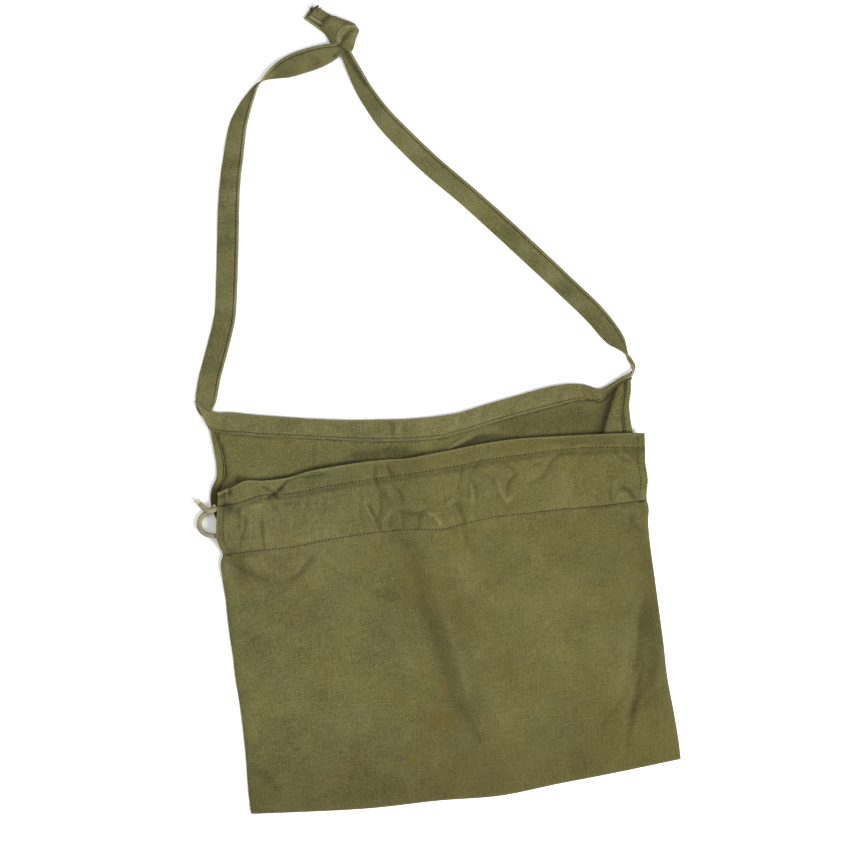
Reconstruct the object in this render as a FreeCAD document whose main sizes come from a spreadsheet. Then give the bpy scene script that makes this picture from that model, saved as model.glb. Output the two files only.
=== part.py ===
"""A flat cloth bag with a drawstring casing at its mouth and two neck ties knotted together.

The bag lies on its back: +X to the wearer's right, +Y from the bottom seam to the ties, +Z up.
Lengths are millimetres. Coordinates in the sheet count from the middle of the bottom seam, and
every piece is then moved by the same step, so that the origin is under the middle of the bag.
"""
import FreeCAD
import Part
import Sketcher
import math
import os

Vector = FreeCAD.Vector

SIZES = [
    # name, millimetres, meaning
    ("middle_x", 3.0, "middle of the whole bag, across"),
    ("middle_y", 409.0, "middle of the whole bag, along"),
    ("cloth", 1.0, "one layer of cloth with its slack"),
    ("turned", 1.0, "a turned hem on top of the cloth"),
    ("thread_wide", 0.8, "width of a row of stitches"),
    ("thread_high", 0.4, "height of a row of stitches"),
    ("fold_gap", 1.0, "clear cloth on each side of a fold"),
    ("hem_width", 9.0, "turned hem at the sides of the back"),
    ("hem_stitch", 7.4, "from a hem's outer edge to its stitches"),
    ("pouch_left", -228.0, "left side seam"),
    ("pouch_right", 228.0, "right side seam"),
    ("foot_slack", 15.0, "how far the bottom edge bows out"),
    ("seam_width", 10.0, "turned-in seam allowance"),
    ("seam_high", 1.4, "thickness of the seam allowance"),
    ("neck_left", -217.0, "left edge of the back above the pouch"),
    ("neck_right", 223.0, "right edge of the back above the pouch"),
    ("casing_fold", 275.0, "fold line at the casing's foot"),
    ("flap_fold", 359.0, "fold line of the back flap"),
    ("front_foot", -16.0, "first section of the front panel"),
    ("front_low", 45.0, "second section of the front panel"),
    ("front_middle", 140.0, "third section of the front panel"),
    ("foot_rise", 0.6, "rise of the front panel at its first section"),
    ("low_rise", 7.0, "rise of the front panel at its second section"),
    ("middle_rise", 10.5, "rise of the front panel at its third section"),
    ("mouth_rise", 11.8, "rise of the front panel at the mouth"),
    ("casing_left_foot", -221.0, "casing's left end at its foot"),
    ("casing_left_top", -217.0, "casing's left end at its top"),
    ("casing_right_foot", 227.0, "casing's right end at its foot"),
    ("casing_right_top", 233.0, "casing's right end at its top"),
    ("casing_shoulder", 342.0, "casing's top edge at both ends"),
    ("casing_crown", 12.0, "how far that edge bows up between them"),
    ("casing_inset", 2.0, "how far the facing stands back"),
    ("casing_wall", 1.2, "turned edge between the casing's layers"),
    ("casing_hem", 8.0, "turned hem at the casing's ends"),
    ("casing_hem_high", 0.8, "thickness of that hem"),
    ("casing_row", 15.5, "from the top edge down to the upper stitches"),
    ("facing_low", 7.2, "underside of the casing's inner layer"),
    ("channel_high", 6.0, "room for the cord between the layers"),
    ("binding_width", 22.0, "folded strip along the back's top edge"),
    ("binding_high", 1.2, "thickness of that strip"),
    ("binding_wall", 1.2, "where the strip wraps over the edge"),
    ("binding_row", 19.5, "from the top edge down to its stitches"),
    ("corner_left_x", -211.0, "top edge, left corner"),
    ("corner_left_y", 424.0, "top edge, left corner"),
    ("low_x", 20.0, "top edge, lowest point"),
    ("low_y", 389.0, "top edge, lowest point"),
    ("low_slack", 5.5, "sag of the edge left of that point"),
    ("crest_x", 147.0, "top edge, crest on the right"),
    ("crest_y", 404.5, "top edge, crest on the right"),
    ("crest_bow", 3.5, "bow of the edge after the crest"),
    ("dip_x", 193.0, "top edge, dip near the right corner"),
    ("dip_y", 395.0, "top edge, dip near the right corner"),
    ("corner_right_x", 227.0, "top edge, right corner"),
    ("corner_right_y", 407.0, "top edge, right corner"),
    ("flap_shoulder", 411.0, "where the flap's left edge turns in"),
    ("flap_hem_left_top", 400.0, "top of the flap's left hem"),
    ("flap_hem_right_top", 379.0, "top of the flap's right hem"),
    ("tack_length", 6.0, "bar tack at each end of the mouth"),
    ("tack_wide", 1.2, "width of a bar tack"),
    ("tack_low", 5.6, "height of a bar tack above the floor"),
    ("strap_wide", 22.0, "width of a folded tie"),
    ("strap_high", 2.2, "thickness of a folded tie"),
    ("roll_wide", 7.0, "width of a tie where it is rolled"),
    ("roll_high", 3.4, "thickness of a tie where it is rolled"),
    ("strap_row", 7.0, "from a tie's middle to its stitches"),
    ("twist_high", 4.8, "height of the left tie where it turns over"),
    ("tail_low", 3.6, "height of the upper tail above the floor"),
    ("knot_high", 11.0, "height of the knot's outer turn"),
    ("knot_under", 7.0, "height of the knot's inner turn"),
    ("knot_round", 2.0, "rounding of the knot's outer turn"),
    ("cord_wide", 4.8, "diameter of the drawstring"),
    ("cord_level", 10.8, "height of the drawstring in its casing"),
    ("cord_lower", 294.0, "lower run of the drawstring"),
    ("cord_upper", 323.0, "upper run of the drawstring"),
    ("cord_left_lower", -217.0, "left end of the lower run"),
    ("cord_left_upper", -213.0, "left end of the upper run"),
    ("cord_turn", 204.0, "where the runs start to turn back"),
]

# The ties' middle lines, from the hinge line to the knot.
LEFT_TIE = [(-217, 431.4), (-208, 467), (-189, 521), (-180, 568), (-167, 645), (-147, 716), (-127, 751.6)]
BRIDGE = [(-103.6, 766.4), (-74, 776.5), (-42, 787)]
RIGHT_TIE = [(210, 455), (197, 478.5), (141, 544), (82, 616), (21, 687), (-3, 722), (-21.5, 770)]
RIGHT_ROLL = [(221.5, 432.5), (216.5, 444), (211.5, 453)]
RIGHT_CORNER = [(229, 409), (230, 419), (225.5, 427.5)]
# The drawstring's loose ends, from the casing outwards, with heights.
LOWER_END = [
    (-217, 294, 10.8), (-226, 294, 10.8), (-236.5, 298.5, 8.8), (-241.5, 308, 4.8),
    (-235, 318.5, 2.8), (-229.5, 328, 2.5), (-225.5, 339, 2.6),
]
UPPER_END = [
    (-213, 323, 10.8), (-220.5, 323, 10.8), (-228.5, 321, 10.6), (-234.5, 325, 8.4), (-240.5, 334, 5),
]

doc = FreeCAD.newDocument("ClothBag")
sheet = doc.addObject("Spreadsheet::Sheet", "Sizes")
for row, (name, size, meaning) in enumerate(SIZES, start=1):
    sheet.set(f"A{row}", meaning)
    sheet.set(f"B{row}", str(size))
    sheet.setAlias(f"B{row}", name)
doc.recompute()
nodes = []


def value(text):
    """The sum of sheet names and numbers in text, such as "casing_fold + fold_gap"."""
    total = 0.0
    sign = 1
    for word in text.split():
        if word in "+-":
            sign = 1 if word == "+" else -1
        elif word[0].isdigit():
            total += sign * float(word)
        else:
            total += sign * float(sheet.get(word))
    return total


def formula(text):
    """The same sum as an expression on the sheet."""
    words = [w if w in "+-" or w[0].isdigit() else f"Sizes.{w}" for w in text.split()]
    return " ".join(words)


def keep(piece, name):
    """Name a finished piece and move it to the bag's own origin."""
    piece.Label = name
    piece.setExpression("Placement.Base.x", "-Sizes.middle_x")
    piece.setExpression("Placement.Base.y", "-Sizes.middle_y")
    nodes.append(piece)
    return piece


def new_body(name):
    return doc.addObject("PartDesign::Body", f"{name}_body")


def plane_of(body, role):
    return [f for f in body.Origin.OriginFeatures if f.Role == role][0]


def outline(body, vertices, offset, role="XY_Plane"):
    """A closed sketch. Each vertex is (x, y, bulge): the bulge bows the edge to the next vertex."""
    sketch = body.newObject("Sketcher::SketchObject", "Outline")
    sketch.AttachmentSupport = [(plane_of(body, role), "")]
    sketch.MapMode = "FlatFace"
    sketch.setExpression("AttachmentOffset.Base.z", formula(offset))
    spots = [Vector(value(x), value(y), 0) for x, y, _ in vertices]
    ends = []
    for index, (_, _, bulge) in enumerate(vertices):
        here = spots[index]
        there = spots[(index + 1) % len(spots)]
        if bulge is None:
            edge = sketch.addGeometry(Part.LineSegment(here, there))
        else:
            chord = there - here
            side = Vector(-chord.y, chord.x, 0).normalize() * value(bulge)
            arc = Part.Arc(here, (here + there) * 0.5 + side, there)
            edge = sketch.addGeometry(arc)
        turned_round = sketch.getPoint(edge, 1).distanceToPoint(here) > sketch.getPoint(
            edge, 2).distanceToPoint(here)
        ends.append((edge, 2, 1) if turned_round else (edge, 1, 2))
    for index, (x, y, bulge) in enumerate(vertices):
        edge, first, _ = ends[index]
        before, _, last = ends[index - 1]
        sketch.addConstraint(Sketcher.Constraint("Coincident", before, last, edge, first))
        for axis, text in (("DistanceX", x), ("DistanceY", y)):
            made = sketch.addConstraint(Sketcher.Constraint(axis, -1, 1, edge, first, value(text)))
            sketch.setExpression(f"Constraints[{made}]", formula(text))
        if bulge is not None:
            far_x, far_y, _ = vertices[(index + 1) % len(vertices)]
            across = f"({formula(far_x)}) - ({formula(x)})"
            along = f"({formula(far_y)}) - ({formula(y)})"
            bow = f"abs({formula(bulge)})"
            radius = f"(({across})^2 + ({along})^2) / 8 / {bow} + {bow} / 2"
            size = sketch.Geometry[edge].Radius
            made = sketch.addConstraint(Sketcher.Constraint("Radius", edge, size))
            sketch.setExpression(f"Constraints[{made}]", radius)
    return sketch


def pad(body, vertices, low, high):
    """An outline in the plan, filled from the height low up by the height high."""
    sketch = outline(body, vertices, low)
    feature = body.newObject("PartDesign::Pad", "Pad")
    feature.Profile = sketch
    feature.setExpression("Length", formula(high))
    sketch.Visibility = False
    return feature


def plate(name, vertices, low, high):
    """One flat piece of cloth or thread as a body of its own."""
    body = new_body(name)
    pad(body, vertices, low, high)
    return keep(body, name)


def rectangle(left, right, low, high):
    return [(left, low, None), (right, low, None), (right, high, None), (left, high, None)]


def strip(edge, upper, lower):
    """The band between an edge moved down by upper and the same edge moved down by lower."""
    ahead = [(x, f"{y} - {upper}", bulge) for x, y, bulge in edge]
    back = []
    for index in range(len(edge) - 1, -1, -1):
        x, y, _ = edge[index]
        bulge = edge[index - 1][2] if index else None
        if bulge is not None:
            bulge = bulge[4:] if bulge.startswith("0 - ") else f"0 - {bulge}"
        back.append((x, f"{y} - {lower}", bulge))
    return ahead + back


def rounded(points, share=0.45):
    """Straight runs through the points, joined by tangent arcs: the wire and its radii."""
    edges = []
    radii = []
    start = points[0]
    for before, corner, after in zip(points, points[1:], points[2:]):
        back = before - corner
        ahead = after - corner
        half_turn = (math.pi - back.getAngle(ahead)) / 2
        reach = share * min(back.Length, ahead.Length)
        radii.append(reach / math.tan(half_turn))
        back.normalize()
        ahead.normalize()
        enter = corner + back * reach
        leave = corner + ahead * reach
        centre = corner + (back + ahead).normalize() * (reach / math.sin(half_turn))
        inward = (corner - centre).normalize() * radii[-1]
        edges.append(Part.LineSegment(start, enter).toShape())
        edges.append(Part.Arc(enter, centre + inward, leave).toShape())
        start = leave
    edges.append(Part.LineSegment(start, points[-1]).toShape())
    return Part.Wire(edges), radii


def flat_band(name, route, wide, low, high):
    """A flat strip that follows a route in the plan."""
    points = [Vector(x, y, value(low) + value(high) / 2) for x, y in route]
    path, _ = rounded(points)
    along = (points[1] - points[0]).normalize()
    across = Vector(-along.y, along.x, 0) * (value(wide) / 2)
    rise = Vector(0, 0, value(high) / 2)
    corners = [points[0] + across + rise, points[0] - across + rise]
    corners += [points[0] - across - rise, points[0] + across - rise]
    profile = Part.makePolygon(corners + corners[:1])
    piece = doc.addObject("Part::Feature", f"{name}_strip")
    piece.Shape = path.makePipeShell([profile], True, False)
    return keep(piece, name)


def cord(name, path):
    """A round cord that follows a wire, with its volume compared with section times length."""
    radius = value("cord_wide") / 2
    start = path.Edges[0].valueAt(path.Edges[0].FirstParameter)
    along = path.Edges[0].tangentAt(path.Edges[0].FirstParameter)
    profile = Part.Wire([Part.makeCircle(radius, start, along)])
    piece = doc.addObject("Part::Feature", f"{name}_tube")
    piece.Shape = path.makePipeShell([profile], True, False)
    share = piece.Shape.Volume / (math.pi * radius ** 2 * path.Length)
    print(f"{name}: length {path.Length:.1f} mm, volume {share:.4f} of section times length")
    return keep(piece, name)


def beside(route, distance):
    """The same route moved to its left by a distance."""
    moved = []
    for index, (x, y) in enumerate(route):
        before = route[max(index - 1, 0)]
        after = route[min(index + 1, len(route) - 1)]
        length = math.hypot(after[0] - before[0], after[1] - before[1])
        step_x = -(after[1] - before[1]) / length * distance
        step_y = (after[0] - before[0]) / length * distance
        moved.append((x + step_x, y + step_y))
    return moved


TOP_EDGE = [
    ("corner_left_x", "corner_left_y", "0 - low_slack"),
    ("low_x", "low_y", None),
    ("crest_x", "crest_y", "crest_bow"),
    ("dip_x", "dip_y", None),
    ("corner_right_x", "corner_right_y", None),
]
CASING_EDGE = [
    ("casing_left_top", "casing_shoulder", "casing_crown"),
    ("casing_right_top", "casing_shoulder", None),
]


def make_pouch():
    """Back panel up to the flap's fold, front panel, and the seams between them."""
    plate("back_panel", [
        ("pouch_left", "0", "0 - foot_slack"),
        ("pouch_right", "0", None),
        ("pouch_right", "casing_fold", None),
        ("neck_right", "casing_fold + fold_gap", None),
        ("neck_right", "flap_fold - fold_gap", None),
        ("neck_left", "flap_fold - fold_gap", None),
        ("neck_left", "casing_fold + fold_gap", None),
        ("pouch_left", "casing_fold", None),
    ], "0", "cloth")
    hem_ends = ("casing_fold + fold_gap", "flap_fold - fold_gap")
    plate("back_hem_left", rectangle("neck_left", "neck_left + hem_width", *hem_ends), "cloth", "turned")
    plate("back_hem_right", rectangle("neck_right - hem_width", "neck_right", *hem_ends), "cloth", "turned")
    side_ends = ("seam_width", "casing_fold - fold_gap")
    plate("side_seam_left", rectangle("pouch_left", "pouch_left + seam_width", *side_ends),
          "cloth", "seam_high")
    plate("side_seam_right", rectangle("pouch_right - seam_width", "pouch_right", *side_ends),
          "cloth", "seam_high")
    plate("bottom_seam", [
        ("pouch_left", "0", "0 - foot_slack"),
        ("pouch_right", "0", None),
        ("pouch_right", "seam_width - fold_gap", "foot_slack"),
        ("pouch_left", "seam_width - fold_gap", None),
    ], "cloth", "seam_high")
    make_front()
    tack_ends = ("casing_fold - fold_gap - fold_gap - tack_wide", "casing_fold - fold_gap - fold_gap")
    plate("bar_tack_left", rectangle("pouch_left + hem_width", "pouch_left + hem_width + tack_length",
                                     *tack_ends), "tack_low", "thread_high")
    plate("bar_tack_right", rectangle("pouch_right - hem_width - tack_length", "pouch_right - hem_width",
                                      *tack_ends), "tack_low", "thread_high")


def make_front():
    """The front panel: an arched sheet, lofted along the pouch and cut to its bottom edge."""
    arch = new_body("front_arch")
    low = "cloth + seam_high"
    high = "cloth + seam_high + cloth"
    sections = []
    for station, rise in (("0 - front_foot", "foot_rise"), ("0 - front_low", "low_rise"),
                          ("0 - front_middle", "middle_rise"), ("fold_gap - casing_fold", "mouth_rise")):
        sections.append(outline(arch, [
            ("pouch_left", high, rise),
            ("pouch_right", high, None),
            ("pouch_right", low, f"0 - {rise}"),
            ("pouch_left", low, None),
        ], station, "XZ_Plane"))
    loft = arch.newObject("PartDesign::AdditiveLoft", "Loft")
    loft.Profile = sections[0]
    loft.Sections = [(section, [""]) for section in sections[1:]]
    plan = new_body("front_plan")
    pad(plan, [
        ("pouch_left", "0", "0 - foot_slack"),
        ("pouch_right", "0", None),
        ("pouch_right", "casing_fold - fold_gap", None),
        ("pouch_left", "casing_fold - fold_gap", None),
    ], "0", "facing_low + facing_low + channel_high")
    front = doc.addObject("Part::Common", "front_panel_cut")
    front.Base = arch
    front.Tool = plan
    keep(front, "front_panel")


def make_casing():
    """The folded band at the front panel's top, open at both ends for the drawstring."""
    front_low = "facing_low + cloth + channel_high"
    foot = "casing_fold + fold_gap"
    plate("casing_front", [
        ("casing_left_foot", foot, None),
        ("casing_left_top", "casing_shoulder", "casing_crown"),
        ("casing_right_top", "casing_shoulder", None),
        ("casing_right_foot", foot, None),
    ], front_low, "cloth")
    facing = new_body("casing_facing")
    inner = [
        ("casing_left_top + casing_inset", "casing_shoulder", "casing_crown"),
        ("casing_right_top - casing_inset", "casing_shoulder", None),
    ]
    pad(facing, [
        ("casing_left_foot + casing_inset", foot, None), inner[0], inner[1],
        ("casing_right_foot - casing_inset", foot, None),
    ], "facing_low", "cloth")
    pad(facing, strip(inner, "0", "casing_wall"), "facing_low + cloth", "channel_high")
    pad(facing, rectangle("casing_left_foot + casing_inset", "casing_right_foot - casing_inset",
                          foot, foot + " + casing_wall"), "facing_low + cloth", "channel_high")
    keep(facing, "casing_facing")
    hem_low = front_low + " - casing_hem_high"
    ends = ("casing_fold + seam_width", "casing_shoulder - casing_hem")
    plate("casing_hem_left", rectangle("casing_left_foot", "casing_left_foot + casing_hem", *ends),
          hem_low, "casing_hem_high")
    plate("casing_hem_right", rectangle("casing_right_foot - casing_hem", "casing_right_foot", *ends),
          hem_low, "casing_hem_high")
    on_top = front_low + " + cloth"
    plate("casing_stitch_upper", strip(CASING_EDGE, "casing_row", "casing_row + thread_wide"),
          on_top, "thread_high")
    plate("casing_stitch_lower", rectangle(
        "casing_left_foot + casing_inset", "casing_right_foot - casing_inset",
        foot + " + casing_wall", foot + " + casing_wall + thread_wide"), on_top, "thread_high")
    rows = ("casing_fold + seam_width", "casing_shoulder - casing_row - cloth")
    plate("casing_stitch_left", rectangle(
        "casing_left_foot + casing_hem - thread_wide", "casing_left_foot + casing_hem", *rows),
        on_top, "thread_high")
    plate("casing_stitch_right", rectangle(
        "casing_right_foot - casing_hem", "casing_right_foot - casing_hem + thread_wide", *rows),
        on_top, "thread_high")


def make_flap():
    """The back panel's free top with its hems and the binding along its edge."""
    foot = "flap_fold + fold_gap"
    edge = [(x, f"{y} - binding_wall", bulge) for x, y, bulge in TOP_EDGE]
    plate("back_flap", edge + [
        ("neck_right", foot, None),
        ("neck_left", foot, None),
        ("neck_left", "flap_shoulder", None),
    ], "0", "cloth")
    plate("flap_hem_left", rectangle("neck_left", "neck_left + hem_width", foot, "flap_hem_left_top"),
          "cloth", "turned")
    plate("flap_hem_right", rectangle("neck_right - hem_width", "neck_right", foot, "flap_hem_right_top"),
          "cloth", "turned")
    row = ("hem_stitch", "hem_stitch + thread_wide")
    plate("flap_stitch_left", rectangle("neck_left + " + row[0], "neck_left + " + row[1],
                                        foot, "flap_hem_left_top"), "cloth + turned", "thread_high")
    plate("flap_stitch_right", rectangle("neck_right - hem_stitch - thread_wide", "neck_right - hem_stitch",
                                         foot, "flap_hem_right_top"), "cloth + turned", "thread_high")
    binding = new_body("top_binding")
    pad(binding, strip(TOP_EDGE, "0", "binding_width"), "cloth", "binding_high")
    pad(binding, strip(TOP_EDGE, "0", "binding_wall"), "0", "cloth")
    keep(binding, "top_binding")
    plate("binding_stitch", strip(TOP_EDGE, "binding_row", "binding_row + thread_wide"),
          "cloth + binding_high", "thread_high")
    corner = doc.addObject("Part::Feature", "strap_corner_left_fold")
    plan = [(-216.5, 413), (-224, 428.6), (-206, 428.6), (-210.8, 424.5)]
    corner.Shape = prism(plan, value("cloth + binding_high"), value("strap_high"))
    keep(corner, "strap_corner_left")
    flat_band("strap_corner_right", RIGHT_CORNER, "roll_wide", "cloth + binding_high", "roll_high")


def prism(plan, low, high):
    """A straight-sided piece of a given plan."""
    points = [Vector(x, y, low) for x, y in plan]
    return Part.Face(Part.makePolygon(points + points[:1])).extrude(Vector(0, 0, high))


def slab(centre, along, wide, high):
    """An upright rectangle across a tie: a section of its turn-over."""
    across = Vector(-along[1], along[0], 0).normalize() * (wide / 2)
    foot = Vector(centre[0], centre[1], 0)
    top = foot + Vector(0, 0, high)
    corners = [foot - across, foot + across, top + across, top - across]
    return Part.makePolygon(corners + corners[:1])


def make_straps():
    """The two ties, the turn-over in the left one, the knot and the tails beyond it."""
    wide = value("strap_wide")
    high = value("strap_high")
    flat_band("strap_left", LEFT_TIE, "strap_wide", "0", "strap_high")
    twist = doc.addObject("Part::Feature", "strap_twist_turn")
    twist.Shape = Part.makeLoft([
        slab((-126.6, 752.2), (0.49, 0.87), wide, high),
        slab((-116, 761.2), (0.8, 0.6), value("roll_wide"), value("twist_high")),
        slab((-104.2, 766.2), (0.95, 0.32), wide, high),
    ], True)
    keep(twist, "strap_twist")
    flat_band("strap_bridge", BRIDGE, "strap_wide", "0", "strap_high")
    flat_band("strap_roll_right", RIGHT_ROLL, "roll_wide", "0", "roll_high")
    flat_band("strap_right", RIGHT_TIE, "strap_wide", "0", "strap_high")
    for name, route in (("strap_stitch_left", beside(LEFT_TIE, -value("strap_row"))),
                        ("strap_stitch_bridge", beside(BRIDGE, value("strap_row"))),
                        ("strap_stitch_right", beside(RIGHT_TIE, value("strap_row")))):
        flat_band(name, route, "thread_wide", "strap_high", "thread_high")
    knot = doc.addObject("Part::Feature", "strap_knot_turn")
    turn = prism([(-36.5, 790.5), (-45.5, 806), (-46.5, 811), (-34.5, 817.5), (-21.5, 813.5),
                  (-11.5, 806.6), (-20, 802.8), (-28.2, 797.4), (-33.6, 791.5)], 0, value("knot_high"))
    upper = [edge for edge in turn.Edges if edge.BoundBox.ZMin > value("knot_high") / 2]
    knot.Shape = turn.makeFillet(value("knot_round"), upper)
    keep(knot, "strap_knot")
    under = doc.addObject("Part::Feature", "strap_knot_under_turn")
    under.Shape = prism([(-33, 791), (-29.5, 778), (-12.5, 778), (-9, 801.5), (-11.4, 806),
                         (-19.6, 802.2), (-27.8, 796.8)], 0, value("knot_under"))
    keep(under, "strap_knot_under")
    for name, plan, low in (
            ("strap_tail_upper", [(-48.4, 811.4), (-35, 818.8), (-45.5, 831), (-52, 833), (-59.5, 822)],
             value("tail_low")),
            ("strap_tail_lower", [(-51.2, 808), (-37.4, 820.4), (-48, 829.5), (-65, 821.5), (-57.5, 813.5)],
             0)):
        tail = doc.addObject("Part::Feature", f"{name}_end")
        tail.Shape = prism(plan, low, high)
        keep(tail, name)


def make_drawstring():
    """The cord: doubled back inside the casing, both ends loose beyond its left end."""
    level = value("cord_level")
    lower = value("cord_lower")
    upper = value("cord_upper")
    turn = value("cord_turn")
    radius = (upper - lower) / 2
    lower_end = Vector(value("cord_left_lower"), lower, level)
    lower_turn = Vector(turn, lower, level)
    bend = Vector(turn + radius, lower + radius, level)
    upper_turn = Vector(turn, upper, level)
    upper_end = Vector(value("cord_left_upper"), upper, level)
    run = Part.Wire([
        Part.LineSegment(lower_end, lower_turn).toShape(),
        Part.Arc(lower_turn, bend, upper_turn).toShape(),
        Part.LineSegment(upper_turn, upper_end).toShape(),
    ])
    print(f"drawstring_run: turn radius {radius:.1f} mm")
    cord("drawstring_run", run)
    for name, route in (("drawstring_end_lower", LOWER_END), ("drawstring_end_upper", UPPER_END)):
        path, radii = rounded([Vector(*point) for point in route])
        print(f"{name}: radii", ", ".join(f"{r:.1f}" for r in radii), "mm")
        cord(name, path)


def export():
    """Check every object, then write each piece to its own file."""
    doc.recompute()
    for item in doc.Objects:
        if "Invalid" in item.State or "Error" in item.State:
            raise SystemExit(f"{item.Label} failed: {item.State}")
    os.makedirs("parts", exist_ok=True)
    for node in nodes:
        if node.Shape.isNull() or not node.Shape.isValid() or not node.Shape.Solids:
            raise SystemExit(f"{node.Label} has no valid solid")
        node.Shape.exportStep(f"parts/{node.Label}.step")
    print(f"{len(nodes)} pieces written")
    whole = FreeCAD.BoundBox()
    for node in nodes:
        if not node.Label.startswith("drawstring_end"):
            whole.add(node.Shape.BoundBox)
    print("box without the loose cord ends:", whole)


make_pouch()
make_casing()
make_flap()
make_straps()
make_drawstring()
export()
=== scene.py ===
"""A worn cotton drawstring bag with knotted neck ties, lying flat on a white table.

Shapes are worked out in millimetres in the bag's own plan: x across from the middle, y up from
the middle of the bottom seam, z above the table. place() turns them into the row frame.
"""
import bpy
import math
import random
import numpy as np
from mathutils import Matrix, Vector


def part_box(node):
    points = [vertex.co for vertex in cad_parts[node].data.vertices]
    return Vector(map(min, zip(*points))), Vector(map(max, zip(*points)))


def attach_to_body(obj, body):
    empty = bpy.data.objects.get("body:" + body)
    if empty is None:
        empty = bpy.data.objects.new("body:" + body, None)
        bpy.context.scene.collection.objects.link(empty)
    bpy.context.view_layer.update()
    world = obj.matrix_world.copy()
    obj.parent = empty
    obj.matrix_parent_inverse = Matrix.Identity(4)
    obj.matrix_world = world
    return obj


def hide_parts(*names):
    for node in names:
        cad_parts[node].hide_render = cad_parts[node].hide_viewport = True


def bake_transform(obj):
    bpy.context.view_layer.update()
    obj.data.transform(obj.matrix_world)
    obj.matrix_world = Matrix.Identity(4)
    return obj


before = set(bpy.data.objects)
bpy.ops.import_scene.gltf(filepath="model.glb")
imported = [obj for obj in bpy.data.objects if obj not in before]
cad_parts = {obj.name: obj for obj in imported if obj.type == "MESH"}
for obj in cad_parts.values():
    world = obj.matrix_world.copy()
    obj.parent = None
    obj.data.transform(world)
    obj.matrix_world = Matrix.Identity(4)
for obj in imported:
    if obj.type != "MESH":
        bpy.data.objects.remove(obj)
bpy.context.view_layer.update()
random.seed(7)

SEAM_START = 10.0  # the side seams start this far above the bottom line
SEAM_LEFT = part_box("side_seam_left")[0]
SEAM_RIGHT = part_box("side_seam_right")[1]
ORIGIN = np.array([(SEAM_LEFT.x + SEAM_RIGHT.x) / 2, SEAM_LEFT.y - SEAM_START / 1000, 0.0])
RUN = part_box("drawstring_run")
RUN_LOW, RUN_HIGH = RUN[0].z * 1000, RUN[1].z * 1000
CORD_RADIUS = (RUN_HIGH - RUN_LOW) / 2
LOWER_RUN = (RUN[0].y - ORIGIN[1]) * 1000 + CORD_RADIUS
UPPER_RUN = (RUN[1].y - ORIGIN[1]) * 1000 - CORD_RADIUS
FACING_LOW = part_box("casing_facing")[0].z * 1000
CLOTH = 0.7  # thickness of one layer of the shown cloth
STITCH_PITCH = 3.75
STITCH_LENGTH = 2.05
STITCH_WANDER = 0.12  # how far a stitch strays to each side
STITCH_LIFT = 0.22
THREAD_RADIUS = 0.56
THREAD_TAPER = 0.6
FLOOR_GAP = 0.05  # the lowest that a sheet's underside lies
CREASE_DEPTH = 1.3  # all creases' heights are multiplied by this
CREASE_WIDTH = 0.85  # and all their widths by this
CREASE_LEAST = 1.5  # but a crease is no narrower than this
WAVE_COUNT = 9  # sine waves in one undulation


# ---------------------------------------------------------------- outlines, in the bag's plan
BOTTOM = [
    (-229, 1.0), (-170, -4.5), (-103, -9.7), (-29, -11.2), (35, -14.5), (96, -10.1), (150, -6.8),
    (229, -0.9),
]
LEFT_SIDE = [
    (-16, -227), (15, -227.6), (70, -225), (108, -224.4), (146, -225.4), (184, -224.4), (214, -224.2),
    (250, -225.2), (266, -224.6), (275, -221.2), (281, -222.4), (292, -224.4), (309, -222.6), (326, -219),
    (352, -216.6),
]
RIGHT_SIDE = [
    (-16, 226.6), (23, 227.2), (49, 226.2), (87, 224.2), (125, 224.8), (189, 224.7), (231, 224.6),
    (252, 225.6), (264, 227.6), (275, 226.8), (283, 227.2), (294, 229.4), (315, 229.4), (327, 231),
    (352, 234),
]
LOWER_ROW = [
    (-232, 274.8), (-193, 273.9), (-144, 273.8), (-118, 275.6), (-57, 277), (-28, 275.6), (8, 271.8),
    (34, 274.1), (60, 276.8), (93, 276.2), (142, 275.2), (176, 273.5), (232, 273.4),
]
UPPER_ROW = [
    (-232, 325.4), (-204, 326.2), (-181, 330.6), (-150, 329), (-110, 331.6), (-80, 332.4), (-12, 333.2),
    (25, 334.6), (60, 337.2), (96, 337.4), (157, 336.6), (189, 333.2), (234, 326.8),
]
CASING_TOP = [
    (-224, 339), (-217, 341), (-206, 343.6), (-199.5, 346.6), (-176, 345), (-152, 344.8), (-128, 348.6),
    (-103, 350), (-77, 350.7), (-44, 350), (-27, 348.6), (-2, 349.8), (18, 351), (62, 353.8), (95, 353.7),
    (135, 351), (175, 347.8), (207, 344.8), (236, 341.4),
]
BACK_LEFT = [
    (-16, -226), (100, -223.5), (240, -223.5), (262, -221), (280, -218), (300, -219), (314, -224),
    (325, -226.6), (338, -226.2), (347, -222.6), (354, -218), (363, -216.3), (385, -216.3), (402, -217.3),
    (430, -218.6),
]
BACK_RIGHT = [
    (-16, 226), (100, 223.5), (240, 223.5), (262, 222.6), (280, 221.6), (343, 221.6), (363, 220.9),
    (376, 221.9), (389, 225.4), (400, 226.6), (430, 227.4),
]
BACK_TOP = [
    (-240, 447), (-230, 438.4), (-221.5, 428), (-210.5, 423.6), (-193, 420.8), (-170, 415.4), (-137, 408.6),
    (-104, 402), (-71, 396.7), (-38, 392.8), (-5, 389.5), (23, 388.7), (41, 389.2), (76, 394.8),
    (109, 399.7), (134, 403.2), (149, 404.4), (166, 403.8), (179, 401), (192.5, 395), (203, 398),
    (213, 402.6), (226, 407.2), (236, 410),
]
BINDING_LOW = [
    (-218, 405.6), (-206, 400.6), (-190, 397.3), (-157, 390.4), (-124, 384.8), (-91, 378.9), (-58, 373),
    (-24, 368.4), (2, 366.2), (20, 365.6), (40, 368), (65, 372.4), (98, 377.7), (131, 381.8), (152, 384.4),
    (171, 386.2), (184, 384.8), (194, 382.6), (201, 387.6), (213, 396), (229, 401),
]

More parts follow.
